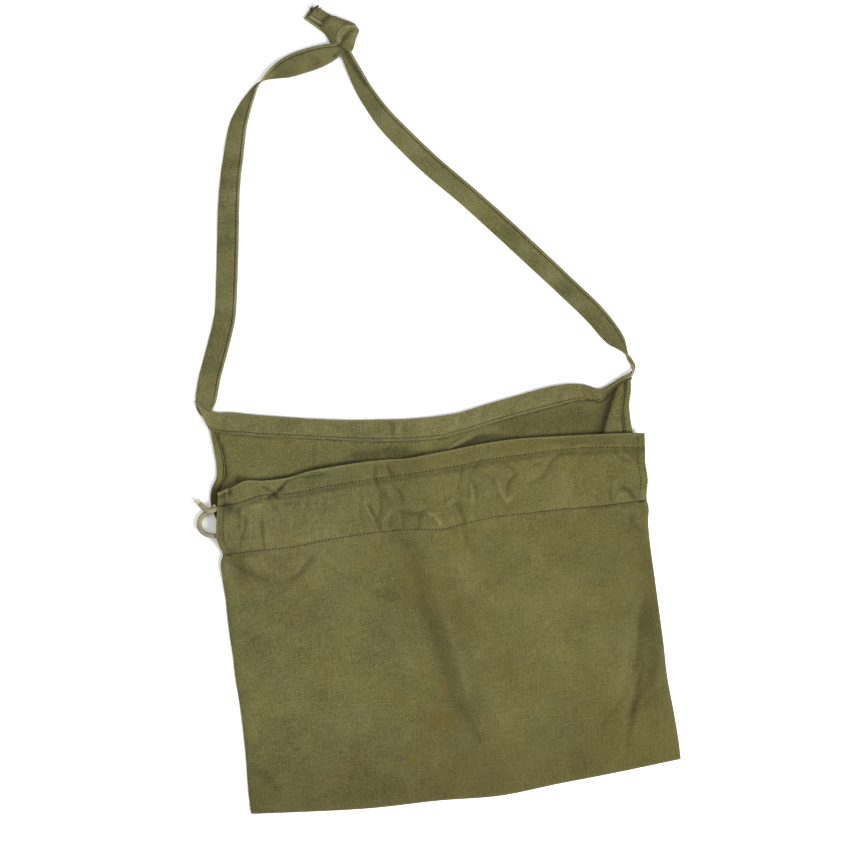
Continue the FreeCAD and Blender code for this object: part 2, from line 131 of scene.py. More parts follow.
# Creases as (half width, height, points along it): a negative height is a valley.
CASING_CREASES = [
    (1.8, -2.2, (-204.5, 346), (-205.4, 336)), (5, -1.2, (-212, 328), (-205, 320)),
    (4, -1.3, (-200, 322), (-196, 309)), (2, -1.3, (-219, 335), (-208, 338)),
    (2.4, -1.6, (-168, 327), (-158, 332), (-150, 338)), (2.2, -1.6, (-172, 341), (-162, 334), (-155, 324)),
    (2.2, -1.8, (-154, 333), (-145, 342), (-133, 346), (-102, 345)),
    (3, 1.0, (-150, 335), (-140, 344), (-126, 347)), (4, 0.9, (-195, 342), (-178, 340)),
    (1.8, -0.9, (-166, 329), (-162, 318), (-156, 315)), (1.6, -0.9, (-154, 320), (-134, 318)),
    (1.6, -0.8, (-125, 323), (-127, 314), (-132, 309)), (1.6, -0.6, (-110, 317), (-109, 303)),
    (1.9, -1.2, (-192, 313), (-194, 299), (-200, 287), (-202, 278)),
    (1.9, 1.0, (-193, 322), (-195, 315), (-197, 297)),
    (1.8, -1.2, (-176, 307), (-177, 289), (-177, 276), (-182, 269)), (2.2, 0.8, (-172, 302), (-174, 278)),
    (4, 0.9, (-187, 321), (-174, 321)), (1.7, -1.8, (-64, 309), (-59, 295), (-54, 277)),
    (1.8, 1.3, (-67, 312), (-63, 298), (-57, 282)), (2.4, -0.7, (-72, 312), (-72, 285)),
    (2.4, -1.4, (-52, 350), (-53, 333), (-49, 318), (-50, 303), (-55, 291)),
    (2, -1.4, (-39, 347), (-35, 332)), (2, -1.0, (-46, 320), (-44, 309), (-40, 301)),
    (2.4, 0.9, (-42, 327), (-39, 313)), (2, -1.2, (-36, 326), (-29, 315), (-27, 302)),
    (2.4, 0.8, (-40, 300), (-50, 288)), (2.2, 2.0, (-5, 292), (4, 287), (9, 275)),
    (4, -1.2, (-33, 296), (-21, 292), (-6, 291)), (1.7, -1.0, (-42, 293), (-44, 279)),
    (1.7, -1.0, (-29, 292), (-30, 275)), (1.9, -1.1, (-12, 290), (-15, 273)),
    (3.4, -1.3, (27, 301), (30, 291), (34, 279), (34, 265)), (2, 1.3, (17, 296), (25, 302), (29, 299)),
    (2, 0.9, (33, 302), (44, 297)), (1.8, -0.8, (39, 335), (35, 322), (30, 307)),
    (1.8, -1.2, (48, 318), (50, 306)), (1.6, 1.3, (46, 316), (45, 296)), (1.6, -0.7, (49, 305), (46, 278)),
    (1.8, -0.7, (57, 338), (47, 325)), (1.9, -1.2, (80, 335), (89, 326), (93, 319), (84, 310), (81, 297)),
    (1.9, 1.5, (73, 317), (75, 303), (80, 292), (87, 298)), (1.6, -0.9, (108, 334), (113, 326), (122, 327)),
    (3.0, -1.0, (145, 335), (134, 329), (127, 321), (120, 312), (104, 306)),
    (5, 0.7, (112, 320), (102, 313)), (11, 0.7, (143, 318), (138, 283)),
    (2.6, -0.8, (145, 334), (162, 330), (185, 329)), (2.2, -0.9, (196, 331), (203, 322), (213, 316)),
    (2, -0.8, (209, 331), (214, 321), (222, 313)), (1.8, 0.9, (204, 331), (209, 323), (218, 316)),
    (2, -1.5, (187, 291), (189, 275)), (1.6, -0.9, (167, 287), (173, 284), (175, 278)),
    (2.4, -2.0, (201, 292), (209, 284), (215, 274)), (2, 1.2, (194, 277), (197, 282), (202, 283)),
    (1.7, 1.0, (196, 300), (192, 288)), (2.4, -0.7, (153, 304), (149, 281)),
    (2.2, 0.8, (176, 340), (154, 339)), (2.2, -0.8, (129, 349), (150, 347)),
]
POUCH_CREASES = [
    (9, -1.1, (-38, 284), (-27, 246), (-19, 215)), (11, -1.3, (-26, 222), (-13, 168), (-6, 125), (-3, 84)),
    (9, 1.5, (-8, 215), (3, 168), (10, 125), (12, 88)), (8, -1.0, (4, 100), (10, 74), (22, 40)),
    (15, 1.2, (22, 250), (27, 198)), (12, 0.8, (24, 150), (34, 104), (45, 52)),
    (16, 0.8, (-59, 205), (-39, 117)), (2.8, -1.5, (-219, 269), (-204, 257), (-190, 248), (-176, 243)),
    (2.6, -1.5, (-154, 240), (-146, 243), (-139, 250), (-126, 262)),
    (9, -1.0, (-188, 243), (-166, 236), (-148, 240)), (6, 1.1, (-202, 266), (-176, 258)),
    (6, 0.8, (-146, 258), (-160, 254)), (3, -0.9, (-121, 256), (-98, 236), (-74, 219), (-48, 208)),
    (9, -1.0, (-216, 194), (-197, 178)), (6, -0.8, (-224, 131), (-218, 116)),
    (6, -0.8, (-221, 48), (-193, 19)), (4, -0.9, (-222, 55), (-205, 38)), (9, -0.8, (221, 172), (208, 137)),
    (6.5, -1.3, (212, 172), (203, 148), (198, 121), (188, 89)),
    (4.4, -1.5, (196, 94), (185, 63), (174, 31)), (3.4, -0.9, (204, 88), (192, 70), (178, 52)),
    (4, -0.9, (174, 31), (171, 14)), (7, 1.4, (224, 125), (210, 74)), (12, 1.2, (188, 151), (171, 79)),
    (2.8, -0.9, (145, 42), (174, 70)), (2.8, -0.9, (222, 81), (192, 59)), (2.6, -0.9, (181, 1), (197, 2)),
    (2.4, -1.3, (205, 261), (209, 249), (219, 241)), (2.4, 1.0, (210, 259), (218, 252)),
    (2.4, 1.2, (165, 271), (190, 270), (206, 267), (220, 262)), (2.6, 1.3, (-3, 268), (18, 270), (24, 268)),
    (2.6, 0.9, (23, 266), (30, 257)), (3, -1.1, (32, 267), (33, 251)), (2.6, 1.0, (-204, 268), (-181, 267)),
    (2.6, -0.9, (-40, 274), (-48, 267)), (7, -1.0, (-29, 269), (-12, 241)),
    (2.4, 0.9, (-135, 273), (-128, 268)), (2.4, 0.8, (-170, 271), (-163, 275)),
    (14, -0.6, (118, 240), (129, 222)), (16, 0.7, (152, 156), (164, 91)),
]
FLAP_CREASES = [
    (2.6, -1.6, (42, 357), (60, 362), (84, 363)), (2.8, 2.0, (26, 353), (39, 359), (52, 364)),
    (5, -1.0, (-44, 362), (-20, 362), (-13, 355)), (3, 0.9, (-17, 362), (-2, 354)),
    (3.4, -0.6, (-111, 377), (-118, 359)), (2.4, -1.0, (-28, 389), (-32, 364)),
    (3.4, -0.8, (-16, 390), (-17, 373)), (4, 0.7, (-22, 386), (-24, 374)),
    (6, -0.8, (-197, 358), (-193, 347)), (5, -0.5, (-143, 373), (-172, 368)),
    (10, 0.5, (-85, 369), (-59, 370)), (14, 0.6, (149, 379), (182, 385)), (4, -0.6, (17, 364), (33, 368)),
    (12, -0.5, (-204, 383), (-196, 365)),
]
BINDING_CREASES = [
    (2.6, -0.8, (-131, 404), (-141, 396)), (2.6, -0.7, (-159, 404), (-165, 397)),
    (2.6, 0.7, (-123, 403), (-128, 394)), (3, -0.7, (-106, 395), (-105, 387)),
    (2.6, -0.8, (-61, 379), (-53, 384)), (2.4, -1.2, (-29, 391), (-30, 375)),
    (3, -0.9, (-17, 390), (-17, 375)), (2.4, 0.7, (-23, 389), (-24, 378)), (3, -1.0, (45, 387), (44, 380)),
    (2.2, -1.1, (71, 395), (66, 379)), (3, 0.8, (61, 390), (54, 380)), (2, -0.9, (81, 391), (85, 376)),
    (3, 0.8, (77, 394), (78, 382)), (3, -0.7, (152, 397), (146, 387)), (3, 0.8, (157, 399), (154, 389)),
    (2.6, -2.0, (176, 399), (180, 385)), (2.4, -1.6, (178, 396), (189, 383)),
    (3, 1.0, (183, 393), (193, 388)), (3, -0.7, (-200, 414), (-205, 406)), (3, -0.6, (9, 382), (4, 372)),
    (3, 0.6, (22, 380), (25, 369)),
]
# Broad painted shade on the front: (half width, strength, points).
FRONT_SHADE = [
    (50, 0.29, (-12, 215), (0, 160), (6, 110), (14, 60)), (13, 0.42, (-214, 284), (-206, 262), (-198, 240)),
    (10, 0.36, (-214, 328), (-204, 317)), (18, 0.32, (224, 232), (222, 180), (214, 130), (208, 50)),
    (7, 0.14, (-112, 282), (-60, 284), (-8, 282)), (7, 0.16, (50, 285), (120, 284)),
    (8, 0.24, (206, 286), (224, 283)), (8, 0.26, (215, 322), (224, 317)),
    (7, 0.2, (-196, 342), (-178, 339)), (6, 0.14, (150, 342), (216, 337)),
]
# Painted shade on the back cloth, deepest where the mouth stands off it: (half width, strength, points).
MOUTH_SHADE = [
    (2.2, 0.8, (-200, 348), (-171, 347), (-130, 347)),
    (3.2, 0.8, (-130, 349), (-113, 352), (-87, 353), (-64, 353)),
    (7, 0.8, (-76, 360), (-58, 358), (-42, 359)), (8, 0.8, (-40, 358), (-30, 358)),
    (6, 0.8, (-30, 356), (-12, 356)), (3.5, 0.9, (-17, 353), (2, 353)), (6, 0.35, (8, 355), (28, 356)),
    (3.6, 1.0, (31, 353), (47, 356), (66, 358), (89, 357)), (5, 0.9, (55, 359), (66, 360)),
    (1.8, 0.7, (89, 356), (145, 350), (187, 347), (219, 345)), (4, 0.5, (-197, 354), (-194, 347)),
    (27, 0.7, (80, 368), (132, 368), (190, 369)), (5, 0.8, (-210.5, 394), (-208, 374), (-207, 350)),
    (3, 0.8, (-209, 364), (-210, 345)), (2, 0.6, (174, 386), (192, 382), (208, 392)),
]


def curve(points, at):
    """The smooth curve through (position, value) points, read at the positions in at."""
    knots, values = np.array(points, float).T
    slopes = np.gradient(values, knots)
    spot = np.clip(at, knots[0], knots[-1])
    first = np.clip(np.searchsorted(knots, spot) - 1, 0, len(knots) - 2)
    gap = knots[first + 1] - knots[first]
    t = (spot - knots[first]) / gap
    start = (2 * t ** 3 - 3 * t ** 2 + 1) * values[first] + (t ** 3 - 2 * t ** 2 + t) * gap * slopes[first]
    end = (3 * t ** 2 - 2 * t ** 3) * values[first + 1] + (t ** 3 - t ** 2) * gap * slopes[first + 1]
    return start + end


def smooth_line(points, knots, at):
    """The smooth line through points, one at each knot, read at the positions in at."""
    return np.stack([curve(list(zip(knots, column)), at) for column in zip(*points)], axis=1)


def ease(value, low, high):
    """0 below low, 1 above high, smooth between."""
    t = np.clip((value - low) / (high - low), 0, 1)
    return t * t * (3 - 2 * t)


def bell(value, width):
    """1 where value is 0, falling smoothly to nothing about two widths away."""
    return np.exp(-(value / width) ** 2)


def creased(x, y, creases):
    """Height added by creases: ridges and valleys along bent lines, fading out at both ends."""
    total = np.zeros_like(x)
    for width, height, *points in creases:
        width = max(width * CREASE_WIDTH, CREASE_LEAST)
        corners = np.array(points, float)
        low, high = corners.min(axis=0) - 3 * width, corners.max(axis=0) + 3 * width
        near = (x > low[0]) & (x < high[0]) & (y > low[1]) & (y < high[1])
        spot = np.stack([x[near], y[near]], axis=1)
        steps = np.diff(corners, axis=0)
        runs = np.linalg.norm(steps, axis=1)
        starts = distances(corners)
        best, place_on = np.full(len(spot), 1e9), np.zeros(len(spot))
        for corner, ahead, run, start in zip(corners, steps, runs, starts):
            t = np.clip((spot - corner) @ ahead / run ** 2, 0, 1)
            away = np.linalg.norm(spot - corner - t[:, None] * ahead, axis=1)
            closer = away < best
            best[closer] = away[closer]
            place_on[closer] = (start + t[closer] * run) / starts[-1]
        fade = ease(np.minimum(place_on, 1 - place_on), -0.14, 0.2)
        total[near] += height * fade * np.exp(-(best / width) ** 1.6)
    return total * CREASE_DEPTH


def waves(x, y, seed, size):
    """Smooth random undulation from -1 to 1, with features about size millimetres across."""
    draw = np.random.default_rng(seed)
    total = np.zeros_like(x)
    for _ in range(WAVE_COUNT):
        angle = draw.uniform(0, math.pi)
        turn = 2 * math.pi / (size * draw.uniform(1.4, 3.2))
        phase = draw.uniform(0, 2 * math.pi)
        total += np.sin((x * math.cos(angle) + y * math.sin(angle)) * turn + phase)
    return total / math.sqrt(WAVE_COUNT * 2)


def stations(length, step, fine):
    """Distances from 0 to length: close together at both ends, step apart between."""
    inner = np.linspace(fine[-1], length - fine[-1], max(2, round((length - 2 * fine[-1]) / step) + 1))
    return np.concatenate([[0], fine[:-1], inner, [length - f for f in fine[-2::-1]], [length]])


def distances(line):
    """How far along a polyline each of its points is."""
    return np.concatenate([[0], np.cumsum(np.linalg.norm(np.diff(line, axis=0), axis=1))])


def read_line(line, reach, at):
    """A polyline's columns at the distances in at, where reach is each point's distance."""
    return np.stack([np.interp(at, reach, column) for column in np.asarray(line).T], axis=1)


def resample(line, step, axes=3):
    """A polyline's columns about step apart along its first axes, and the distances of the rows."""
    line = np.asarray(line, float)
    reach = distances(line[:, :axes])
    at = np.linspace(0, reach[-1], round(reach[-1] / step) + 1)
    return read_line(line, reach, at), at


# ---------------------------------------------------------------- meshes
def place(points):
    """Bag millimetres to the row frame in metres."""
    return np.asarray(points, float) / 1000 + ORIGIN


def mesh_piece(name, points, faces, across=None, along=None, finish=None):
    """A smooth mesh. across and along are cloth coordinates in millimetres, finish its marks."""
    mesh = bpy.data.meshes.new(name)
    mesh.from_pydata(place(points).tolist(), [], faces)
    mesh.update()
    for polygon in mesh.polygons:
        polygon.use_smooth = True
    if finish is not None:
        picked = np.zeros(len(mesh.loops), int)
        mesh.loops.foreach_get("vertex_index", picked)
        both = np.stack([across[picked], along[picked]], axis=1) / 1000
        mesh.uv_layers.new(name="weave").data.foreach_set("uv", both.ravel())
        full = np.concatenate([finish, np.ones((len(finish), 1))], axis=1)
        mesh.attributes.new("finish", "FLOAT_COLOR", "POINT").data.foreach_set("color", full.ravel())
    piece = bpy.data.objects.new(name, mesh)
    bpy.context.scene.collection.objects.link(piece)
    return piece


def normals(grid):
    """Unit normals of a grid of points, upwards for columns to the right and rows away."""
    turned = np.cross(np.gradient(grid, axis=1), np.gradient(grid, axis=0))
    return turned / np.maximum(np.linalg.norm(turned, axis=2, keepdims=True), 1e-9)


def grid_faces(rows, columns, first=0, flip=False, closed=False):
    """Quads of a grid of points, rows by columns."""
    faces = []
    for row in range(rows - 1):
        for column in range(columns if closed else columns - 1):
            a = first + row * columns + column
            b = first + row * columns + (column + 1) % columns
            quad = (a, b, b + columns, a + columns)
            faces.append(quad[::-1] if flip else quad)
    return faces


def shell(name, grid, finish, thick=CLOTH, along=None):
    """A sheet of cloth whose outer face is the grid, with a second face below it and a rim."""
    rows, columns = grid.shape[:2]
    under = grid - normals(grid) * thick
    points = np.concatenate([grid.reshape(-1, 3), under.reshape(-1, 3)])
    points[:, 2] = np.maximum(points[:, 2], FLOOR_GAP)
    count = rows * columns
    faces = grid_faces(rows, columns) + grid_faces(rows, columns, count, flip=True)
    spots = np.arange(count).reshape(rows, columns)
    ring = np.concatenate([spots[0], spots[1:, -1], spots[-1, -2::-1], spots[-2:0:-1, 0]]).tolist()
    for here, there in zip(ring, ring[1:] + ring[:1]):
        faces.append((there, here, here + count, there + count))
    along = grid[:, :, 1] if along is None else along
    across, along = (np.tile(part.ravel(), 2) for part in (grid[:, :, 0], along))
    return mesh_piece(name, points, faces, across, along, np.tile(finish.reshape(-1, 3), (2, 1)))


def tube_piece(name, rings, across, along, finish):
    """A closed form from rings of points, with a cap on each end."""
    count, around = rings.shape[:2]
    points = np.concatenate([rings.reshape(-1, 3), rings[:1].mean(axis=1), rings[-1:].mean(axis=1)])
    faces = grid_faces(count, around, closed=True)
    first = count * around
    for column in range(around):
        beyond = (column + 1) % around
        faces.append((column, first, beyond))
        faces.append((first - around + column, first - around + beyond, first + 1))
    across = np.append(np.broadcast_to(across, (count, around)).ravel(), [0, 0])
    along = np.append(np.broadcast_to(along[:, None], (count, around)).ravel(), along[[0, -1]])
    finish = np.concatenate([finish.reshape(-1, 3), np.zeros((2, 3))])
    return mesh_piece(name, points, faces, across, along, finish)


def thread_rings(line, radius, around, tapered=True):
    """Rings of points round a polyline, thinner at both ends if tapered."""
    direction = np.gradient(line, axis=0)
    direction /= np.linalg.norm(direction, axis=1, keepdims=True)
    side = np.cross(direction, [0, 0, 1.0])
    side /= np.linalg.norm(side, axis=1, keepdims=True)
    up = np.cross(side, direction)
    size = np.full(len(line), radius, float)
    if tapered:
        size *= np.clip(1.05 - np.abs(np.linspace(-1, 1, len(line))) ** (1 / THREAD_TAPER), 0.15, 1)
    turn = np.arange(around) / around * 2 * math.pi
    ring = side[:, None] * np.cos(turn)[None, :, None] + up[:, None] * np.sin(turn)[None, :, None]
    return line[:, None] + ring * size[:, None, None]


def dress(piece, material):
    """Give a piece its material."""
    piece.data.materials.append(material)
    return piece


def bundle(name, lines, radius, material, around=6):
    """Many short threads as one mesh."""
    points, faces, first = [], [], 0
    for line in lines:
        points.append(thread_rings(line, radius, around).reshape(-1, 3))
        last = first + (len(line) - 1) * around
        faces += grid_faces(len(line), around, first, closed=True)
        faces.append(tuple(range(first + around - 1, first - 1, -1)))
        faces.append(tuple(range(last, last + around)))
        first = last + around
    return dress(mesh_piece(name, np.concatenate(points), faces), material)


def attach(piece, hold, *old):
    """Let a piece ride on a body, or else only bake its place into its mesh; hide the old CAD nodes it
    replaces.
    """
    if isinstance(hold, str):
        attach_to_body(piece, hold)
    else:
        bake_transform(piece)
    if old:
        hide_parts(*old)


def fold_between(body, other, low, high):
    return body, other, *((0, *place([0, y, 0])[1:]) for y in (low, high))


CASING_FOLD = fold_between("pouch", "casing", 269, 282)
FLAP_TURN = fold_between("pouch", "flap", 352, 364.5)
TIE_TURN = fold_between("flap", "ties", 423.5, 441)


def stitches(line, pitch=STITCH_PITCH, length=STITCH_LENGTH):
    """Short arched threads along a line on the cloth, each sunk at both ends."""
    reach = distances(line)
    made = []
    for start in np.arange(pitch * 0.4, reach[-1] - length, pitch):
        at = start + random.uniform(-0.2, 0.2) + np.linspace(0, length, 5)
        part = read_line(line, reach, at)
        part[:, :2] += [random.uniform(-STITCH_WANDER, STITCH_WANDER) for _ in range(2)]
        part[:, 2] += np.array([-0.5, 0.5, 0.9, 0.5, -0.5]) * STITCH_LIFT
        made.append(part)
    return made


def sew(name, line, hold, *old, thick=1.0, **spacing):
    """A row of stitches along a line on the cloth."""
    attach(bundle(name, stitches(line, **spacing), THREAD_RADIUS * thick, THREAD), hold, *old)


# ---------------------------------------------------------------- materials
class Shader:
    """A principled material, with short calls for the nodes that make it up."""

    def __init__(self, name):
        self.material = bpy.data.materials.new(name)
        self.material.use_nodes = True
        self.tree = self.material.node_tree
        self.tree.nodes.clear()
        self.surface = self.tree.nodes.new("ShaderNodeBsdfPrincipled")
        self.node("OutputMaterial", {0: self.surface.outputs[0]})
        self.spot = self.node("TexCoord")["Object"]

    def fill(self, made, inputs):
        """Set or link a node's inputs, given by name or number."""
        for key, value in inputs.items():
            if isinstance(value, bpy.types.NodeSocket):
                self.tree.links.new(value, made.inputs[key])
            else:
                made.inputs[key].default_value = value

    def node(self, kind, inputs=None, **settings):
        """The outputs of a new node."""
        made = self.tree.nodes.new(f"ShaderNode{kind}")
        for key, value in settings.items():
            setattr(made, key, value)
        self.fill(made, inputs or {})
        return made.outputs

    def maths(self, operation, a, b=0.0):
        return self.node("Math", {0: a, 1: b}, operation=operation)[0]

    def total(self, *parts):
        """The sum of values, each times its weight."""
        weighted = [self.maths("MULTIPLY", part, weight) for part, weight in parts]
        whole = weighted[0]
        for part in weighted[1:]:
            whole = self.maths("ADD", whole, part)
        return whole

    def mixed(self, share, a, b, kind="MIX"):
        """Two colours mixed by a share."""
        a, b = ((*colour, 1) if isinstance(colour, tuple) else colour for colour in (a, b))
        return self.node("Mix", {0: share, 6: a, 7: b}, data_type="RGBA", blend_type=kind)[2]

    def shaded(self, colour, factor):
        """A colour times a plain factor."""
        return self.mixed(1.0, colour, self.grey(factor), "MULTIPLY")

    def grey(self, level):
        return self.node("CombineColor", {0: level, 1: level, 2: level})[0]

    def ranged(self, value, low, high, to_low=0.0, to_high=1.0):
        """A value's range from low to high spread over another, and clipped outside it."""
        ends = {"From Min": low, "From Max": high, "To Min": to_low, "To Max": to_high}
        return self.node("MapRange", {"Value": value, **ends})[0]

    def noise(self, vector, scale, detail, rough, swirl, *ends):
        """Noise, spread as ranged() says."""
        made = self.node("TexNoise", {"Vector": vector, "Scale": scale, "Detail": detail,
                                      "Roughness": rough, "Distortion": swirl})["Fac"]
        return self.ranged(made, *ends) if ends else made

    def streaks(self, weave, scale, detail, rough):
        """Streaks along the cloth's own directions."""
        drawn_out = self.node("Mapping", {"Vector": weave, "Scale": scale})[0]
        return self.noise(drawn_out, 1, detail, rough, 0, 0.3, 0.7)

    def weave(self):
        """The cloth's own coordinates."""
        return self.node("UVMap", uv_map="weave")[0]

    def marks(self):
        """The mesh's marks: lighter with wear and painted highlight, darker with grime and painted shade, and
        stained.
        """
        colour = self.node("Attribute", attribute_name="finish")["Color"]
        return self.node("SeparateColor", {"Color": colour})

    def done(self, colour, rough, specular, height=None, strength=0.0, depth=0.0):
        """The material with its colour, roughness and a bump from height."""
        self.fill(self.surface, {"Base Color": colour, "Roughness": rough, "Specular IOR Level": specular})
        if height:
            bump = self.node("Bump", {"Height": height, "Strength": strength, "Distance": depth})[0]
            self.fill(self.surface, {"Normal": bump})
        return self.material


STAIN = (0.076, 0.061, 0.012)
SHEEN = {"Sheen Weight": 0.1, "Sheen Roughness": 0.5, "Sheen Tint": (0.8, 0.78, 0.55, 1)}
WEAVE_PITCH = 0.55  # millimetres from one thread of the cloth to the next


def cloth_material(name, dark, light, yellow, worn):
    """Plain-weave cotton: faded patches, slubs in both directions, worn ridges, seams, stains, and the
    painted shade and highlight that the marks carry.
    """
    make = Shader(name)
    weave = make.weave()
    wear_and_highlight_share, dirt_and_shade, stained = make.marks()
    broad = make.noise(make.spot, 11, 4, 0.6, 0, 0.32, 0.68)
    patchy = make.noise(make.spot, 38, 4, 0.62, 0.3, 0.3, 0.7)
    grain = make.noise(make.spot, 560, 3, 0.8, 0, 0.34, 0.66)
    warp = make.streaks(weave, (1500, 55, 1), 2, 0.6)
    weft = make.streaks(weave, (55, 1500, 1), 2, 0.6)
    share = make.total((broad, 0.13), (patchy, 0.12), (grain, 0.34), (warp, 0.20), (weft, 0.21))
    share = make.ranged(share, 0.25, 0.75)
    colour = make.mixed(share, dark, light)
    hue = make.noise(make.spot, 17, 4, 0.6, 0.6, 0.40, 0.66, 0.0, 0.36)
    colour = make.mixed(hue, colour, make.mixed(1.0, colour, yellow, "MULTIPLY"))

    turns = 1 / WEAVE_PITCH * 1000 * math.pi
    across, along, _ = make.node("SeparateXYZ", {"Vector": weave})
    over = make.maths("MULTIPLY", *(make.maths("SINE", make.maths("MULTIPLY", way, turns))
                                    for way in (across, along)))
    colour = make.shaded(colour, make.ranged(over, -1.0, 0.2, 0.86, 1.0))

    ragged = make.noise(make.spot, 420, 3, 0.7, 0, 0.35, 0.65, 0.35, 1.0)
    colour = make.mixed(make.maths("MULTIPLY", wear_and_highlight_share, ragged), colour, worn)
    # The marks' second share darkens the colour: grime and painted shade.
    colour = make.shaded(colour, make.ranged(dirt_and_shade, 0.0, 1.5, 1.0, 0.13))
    edge = make.noise(make.spot, 190, 4, 0.65, 0, 0.30, 0.55)
    colour = make.mixed(make.maths("MULTIPLY", stained, edge), colour, STAIN)

    relief = make.total((warp, 0.5), (weft, 0.5), (over, 0.5), (grain, 0.8))
    make.fill(make.surface, SHEEN)
    return make.done(colour, make.ranged(share, 0.0, 1.0, 0.96, 0.84), 0.12, relief, 0.55, 0.00022)


def thread_material(name, dark, light):
    """Sewing thread: dark, slightly uneven."""
    make = Shader(name)
    share = make.noise(make.spot, 260, 3, 0.6, 0, 0.35, 0.65)
    strand = make.noise(make.spot, 2600, 1, 0.5, 0)
    rough = make.ranged(strand, 0.3, 0.7, 0.75, 0.95)
    return make.done(make.mixed(share, dark, light), rough, 0.15, strand, 0.5, 0.0001)


def cord_material(name, dark, light, tip):
    """Soft cotton cord: greyed strands, darker between them, a paler worn tip."""
    make = Shader(name)
    worn, dirt_and_shade, _ = make.marks()
    fibres = make.streaks(make.weave(), (2600, 260, 1), 3, 0.65)
    patchy = make.noise(make.spot, 130, 3, 0.6, 0, 0.32, 0.68)
    colour = make.mixed(make.total((fibres, 0.5), (patchy, 0.5)), dark, light)
    colour = make.mixed(worn, colour, tip)
    colour = make.shaded(colour, make.ranged(dirt_and_shade, 0.0, 1.0, 1.0, 0.5))
    return make.done(colour, make.ranged(fibres, 0.0, 1.0, 0.95, 0.82), 0.1, fibres, 0.7, 0.0003)


def table_material():
    """A plain white table top with the faintest unevenness."""
    make = Shader("white_table")
    tone = make.noise(make.spot, 3, 2, 0.55, 0, 0.3, 0.7, 0.93, 0.95)
    return make.done(make.grey(tone), 0.9, 0.0)


FRONT_CLOTH = cloth_material("front_cotton", (0.050, 0.0485, 0.0155), (0.133, 0.1265, 0.0465),
                             (1.18, 0.96, 0.68), (0.225, 0.205, 0.098))
BACK_CLOTH = cloth_material("back_cotton", (0.053, 0.0505, 0.0158), (0.140, 0.132, 0.0490),
                            (1.12, 0.97, 0.68), (0.205, 0.187, 0.090))
TIE_CLOTH = cloth_material("tie_cotton", (0.057, 0.0560, 0.0190), (0.150, 0.143, 0.0590),
                           (1.12, 0.97, 0.70), (0.235, 0.218, 0.115))
THREAD = thread_material("sewing_thread", (0.014, 0.012, 0.005), (0.032, 0.027, 0.010))
YARN = thread_material("cloth_yarn", (0.045, 0.043, 0.015), (0.13, 0.12, 0.05))
PALE_THREAD = thread_material("loose_thread", (0.10, 0.09, 0.045), (0.22, 0.20, 0.11))
CORD = cord_material("cotton_cord", (0.15, 0.14, 0.080), (0.36, 0.335, 0.205), (0.62, 0.57, 0.34))


# ---------------------------------------------------------------- camera, lights, table
VIEW_WIDTH = 0.8925
VIEW_DISTANCE = 2.2
VIEW_TURN = math.radians(-7.5)
VIEW_CENTRE = place([6.5, 381.5, 0])
TABLE_HALF = 6.0


def put_in_scene(name, data):
    """A new object in the scene."""
    made = bpy.data.objects.new(name, data)
    bpy.context.scene.collection.objects.link(made)
    return made


def make_camera():
    """Straight down, turned a little, framed on a square."""
    data = bpy.data.cameras.new("camera")
    data.sensor_width = 36
    data.lens = data.sensor_width * VIEW_DISTANCE / VIEW_WIDTH
    camera = put_in_scene("camera", data)
    camera.location = (*VIEW_CENTRE[:2], VIEW_DISTANCE)
    camera.rotation_euler = (0, 0, VIEW_TURN)
    bpy.context.scene.camera = camera


def soft_box(name, azimuth, height, distance, size, power):
    """A square lamp aimed at the bag. Azimuth 0 is towards +X, and grows towards +Y."""
    lamp = bpy.data.lights.new(name, "AREA")
    lamp.shape = "SQUARE"
    lamp.size = size
    lamp.energy = power
    light = put_in_scene(name, lamp)
    turn = math.radians(azimuth)
    light.location = (math.cos(turn) * distance, math.sin(turn) * distance, height)
    light.rotation_euler = (-Vector(light.location)).to_track_quat("-Z", "Y").to_euler()


def make_studio():
    """White table, even white surroundings, and two soft lamps."""
    scene = bpy.context.scene
    scene.view_settings.view_transform = "Standard"
    scene.view_settings.look = "None"
    scene.world = bpy.data.worlds.new("studio")
    scene.world.use_nodes = True
    background = scene.world.node_tree.nodes["Background"].inputs
    background[0].default_value = (1.0, 1.0, 1.0, 1)
    background[1].default_value = 0.74
    soft_box("key", -42, 1.6, 1.7, 1.0, 74)
    soft_box("fill", 150, 2.4, 1.2, 1.8, 14)
    mesh = bpy.data.meshes.new("table")
    corners = [(TABLE_HALF * x, TABLE_HALF * y, 0) for x, y in ((-1, -1), (1, -1), (1, 1), (-1, 1))]
    mesh.from_pydata(corners, [], [(0, 1, 2, 3)])
    mesh.materials.append(table_material())
    put_in_scene("table", mesh)


make_camera()
make_studio()


# ---------------------------------------------------------------- the drawstring
LOWER_ROUTE = [(-0.217, -0.1150, 0.0108), (-0.2310, -0.1140, 0.0106), (-0.2415, -0.1100, 0.0084),
               (-0.2455, -0.1010, 0.0052), (-0.2420, -0.0925, 0.0036), (-0.2335, -0.0882, 0.0034),
               (-0.2245, -0.0830, 0.0050)]
UPPER_ROUTE = [(-0.216, -0.086, 0.0108), (-0.2235, -0.086, 0.0108), (-0.2315, -0.088, 0.0106),
               (-0.2375, -0.084, 0.0084), (-0.2435, -0.075, 0.005)]
STRAND_TURN = 9.5  # the strands wind once round the cord in this length
FRAY_COUNT = 26
FRAY_LENGTH = 3.2
FRAY_SPREAD = 0.9
FRAY_RADIUS = 0.2
FIBRE_REST = 0.25  # the lowest that a fibre's middle line lies


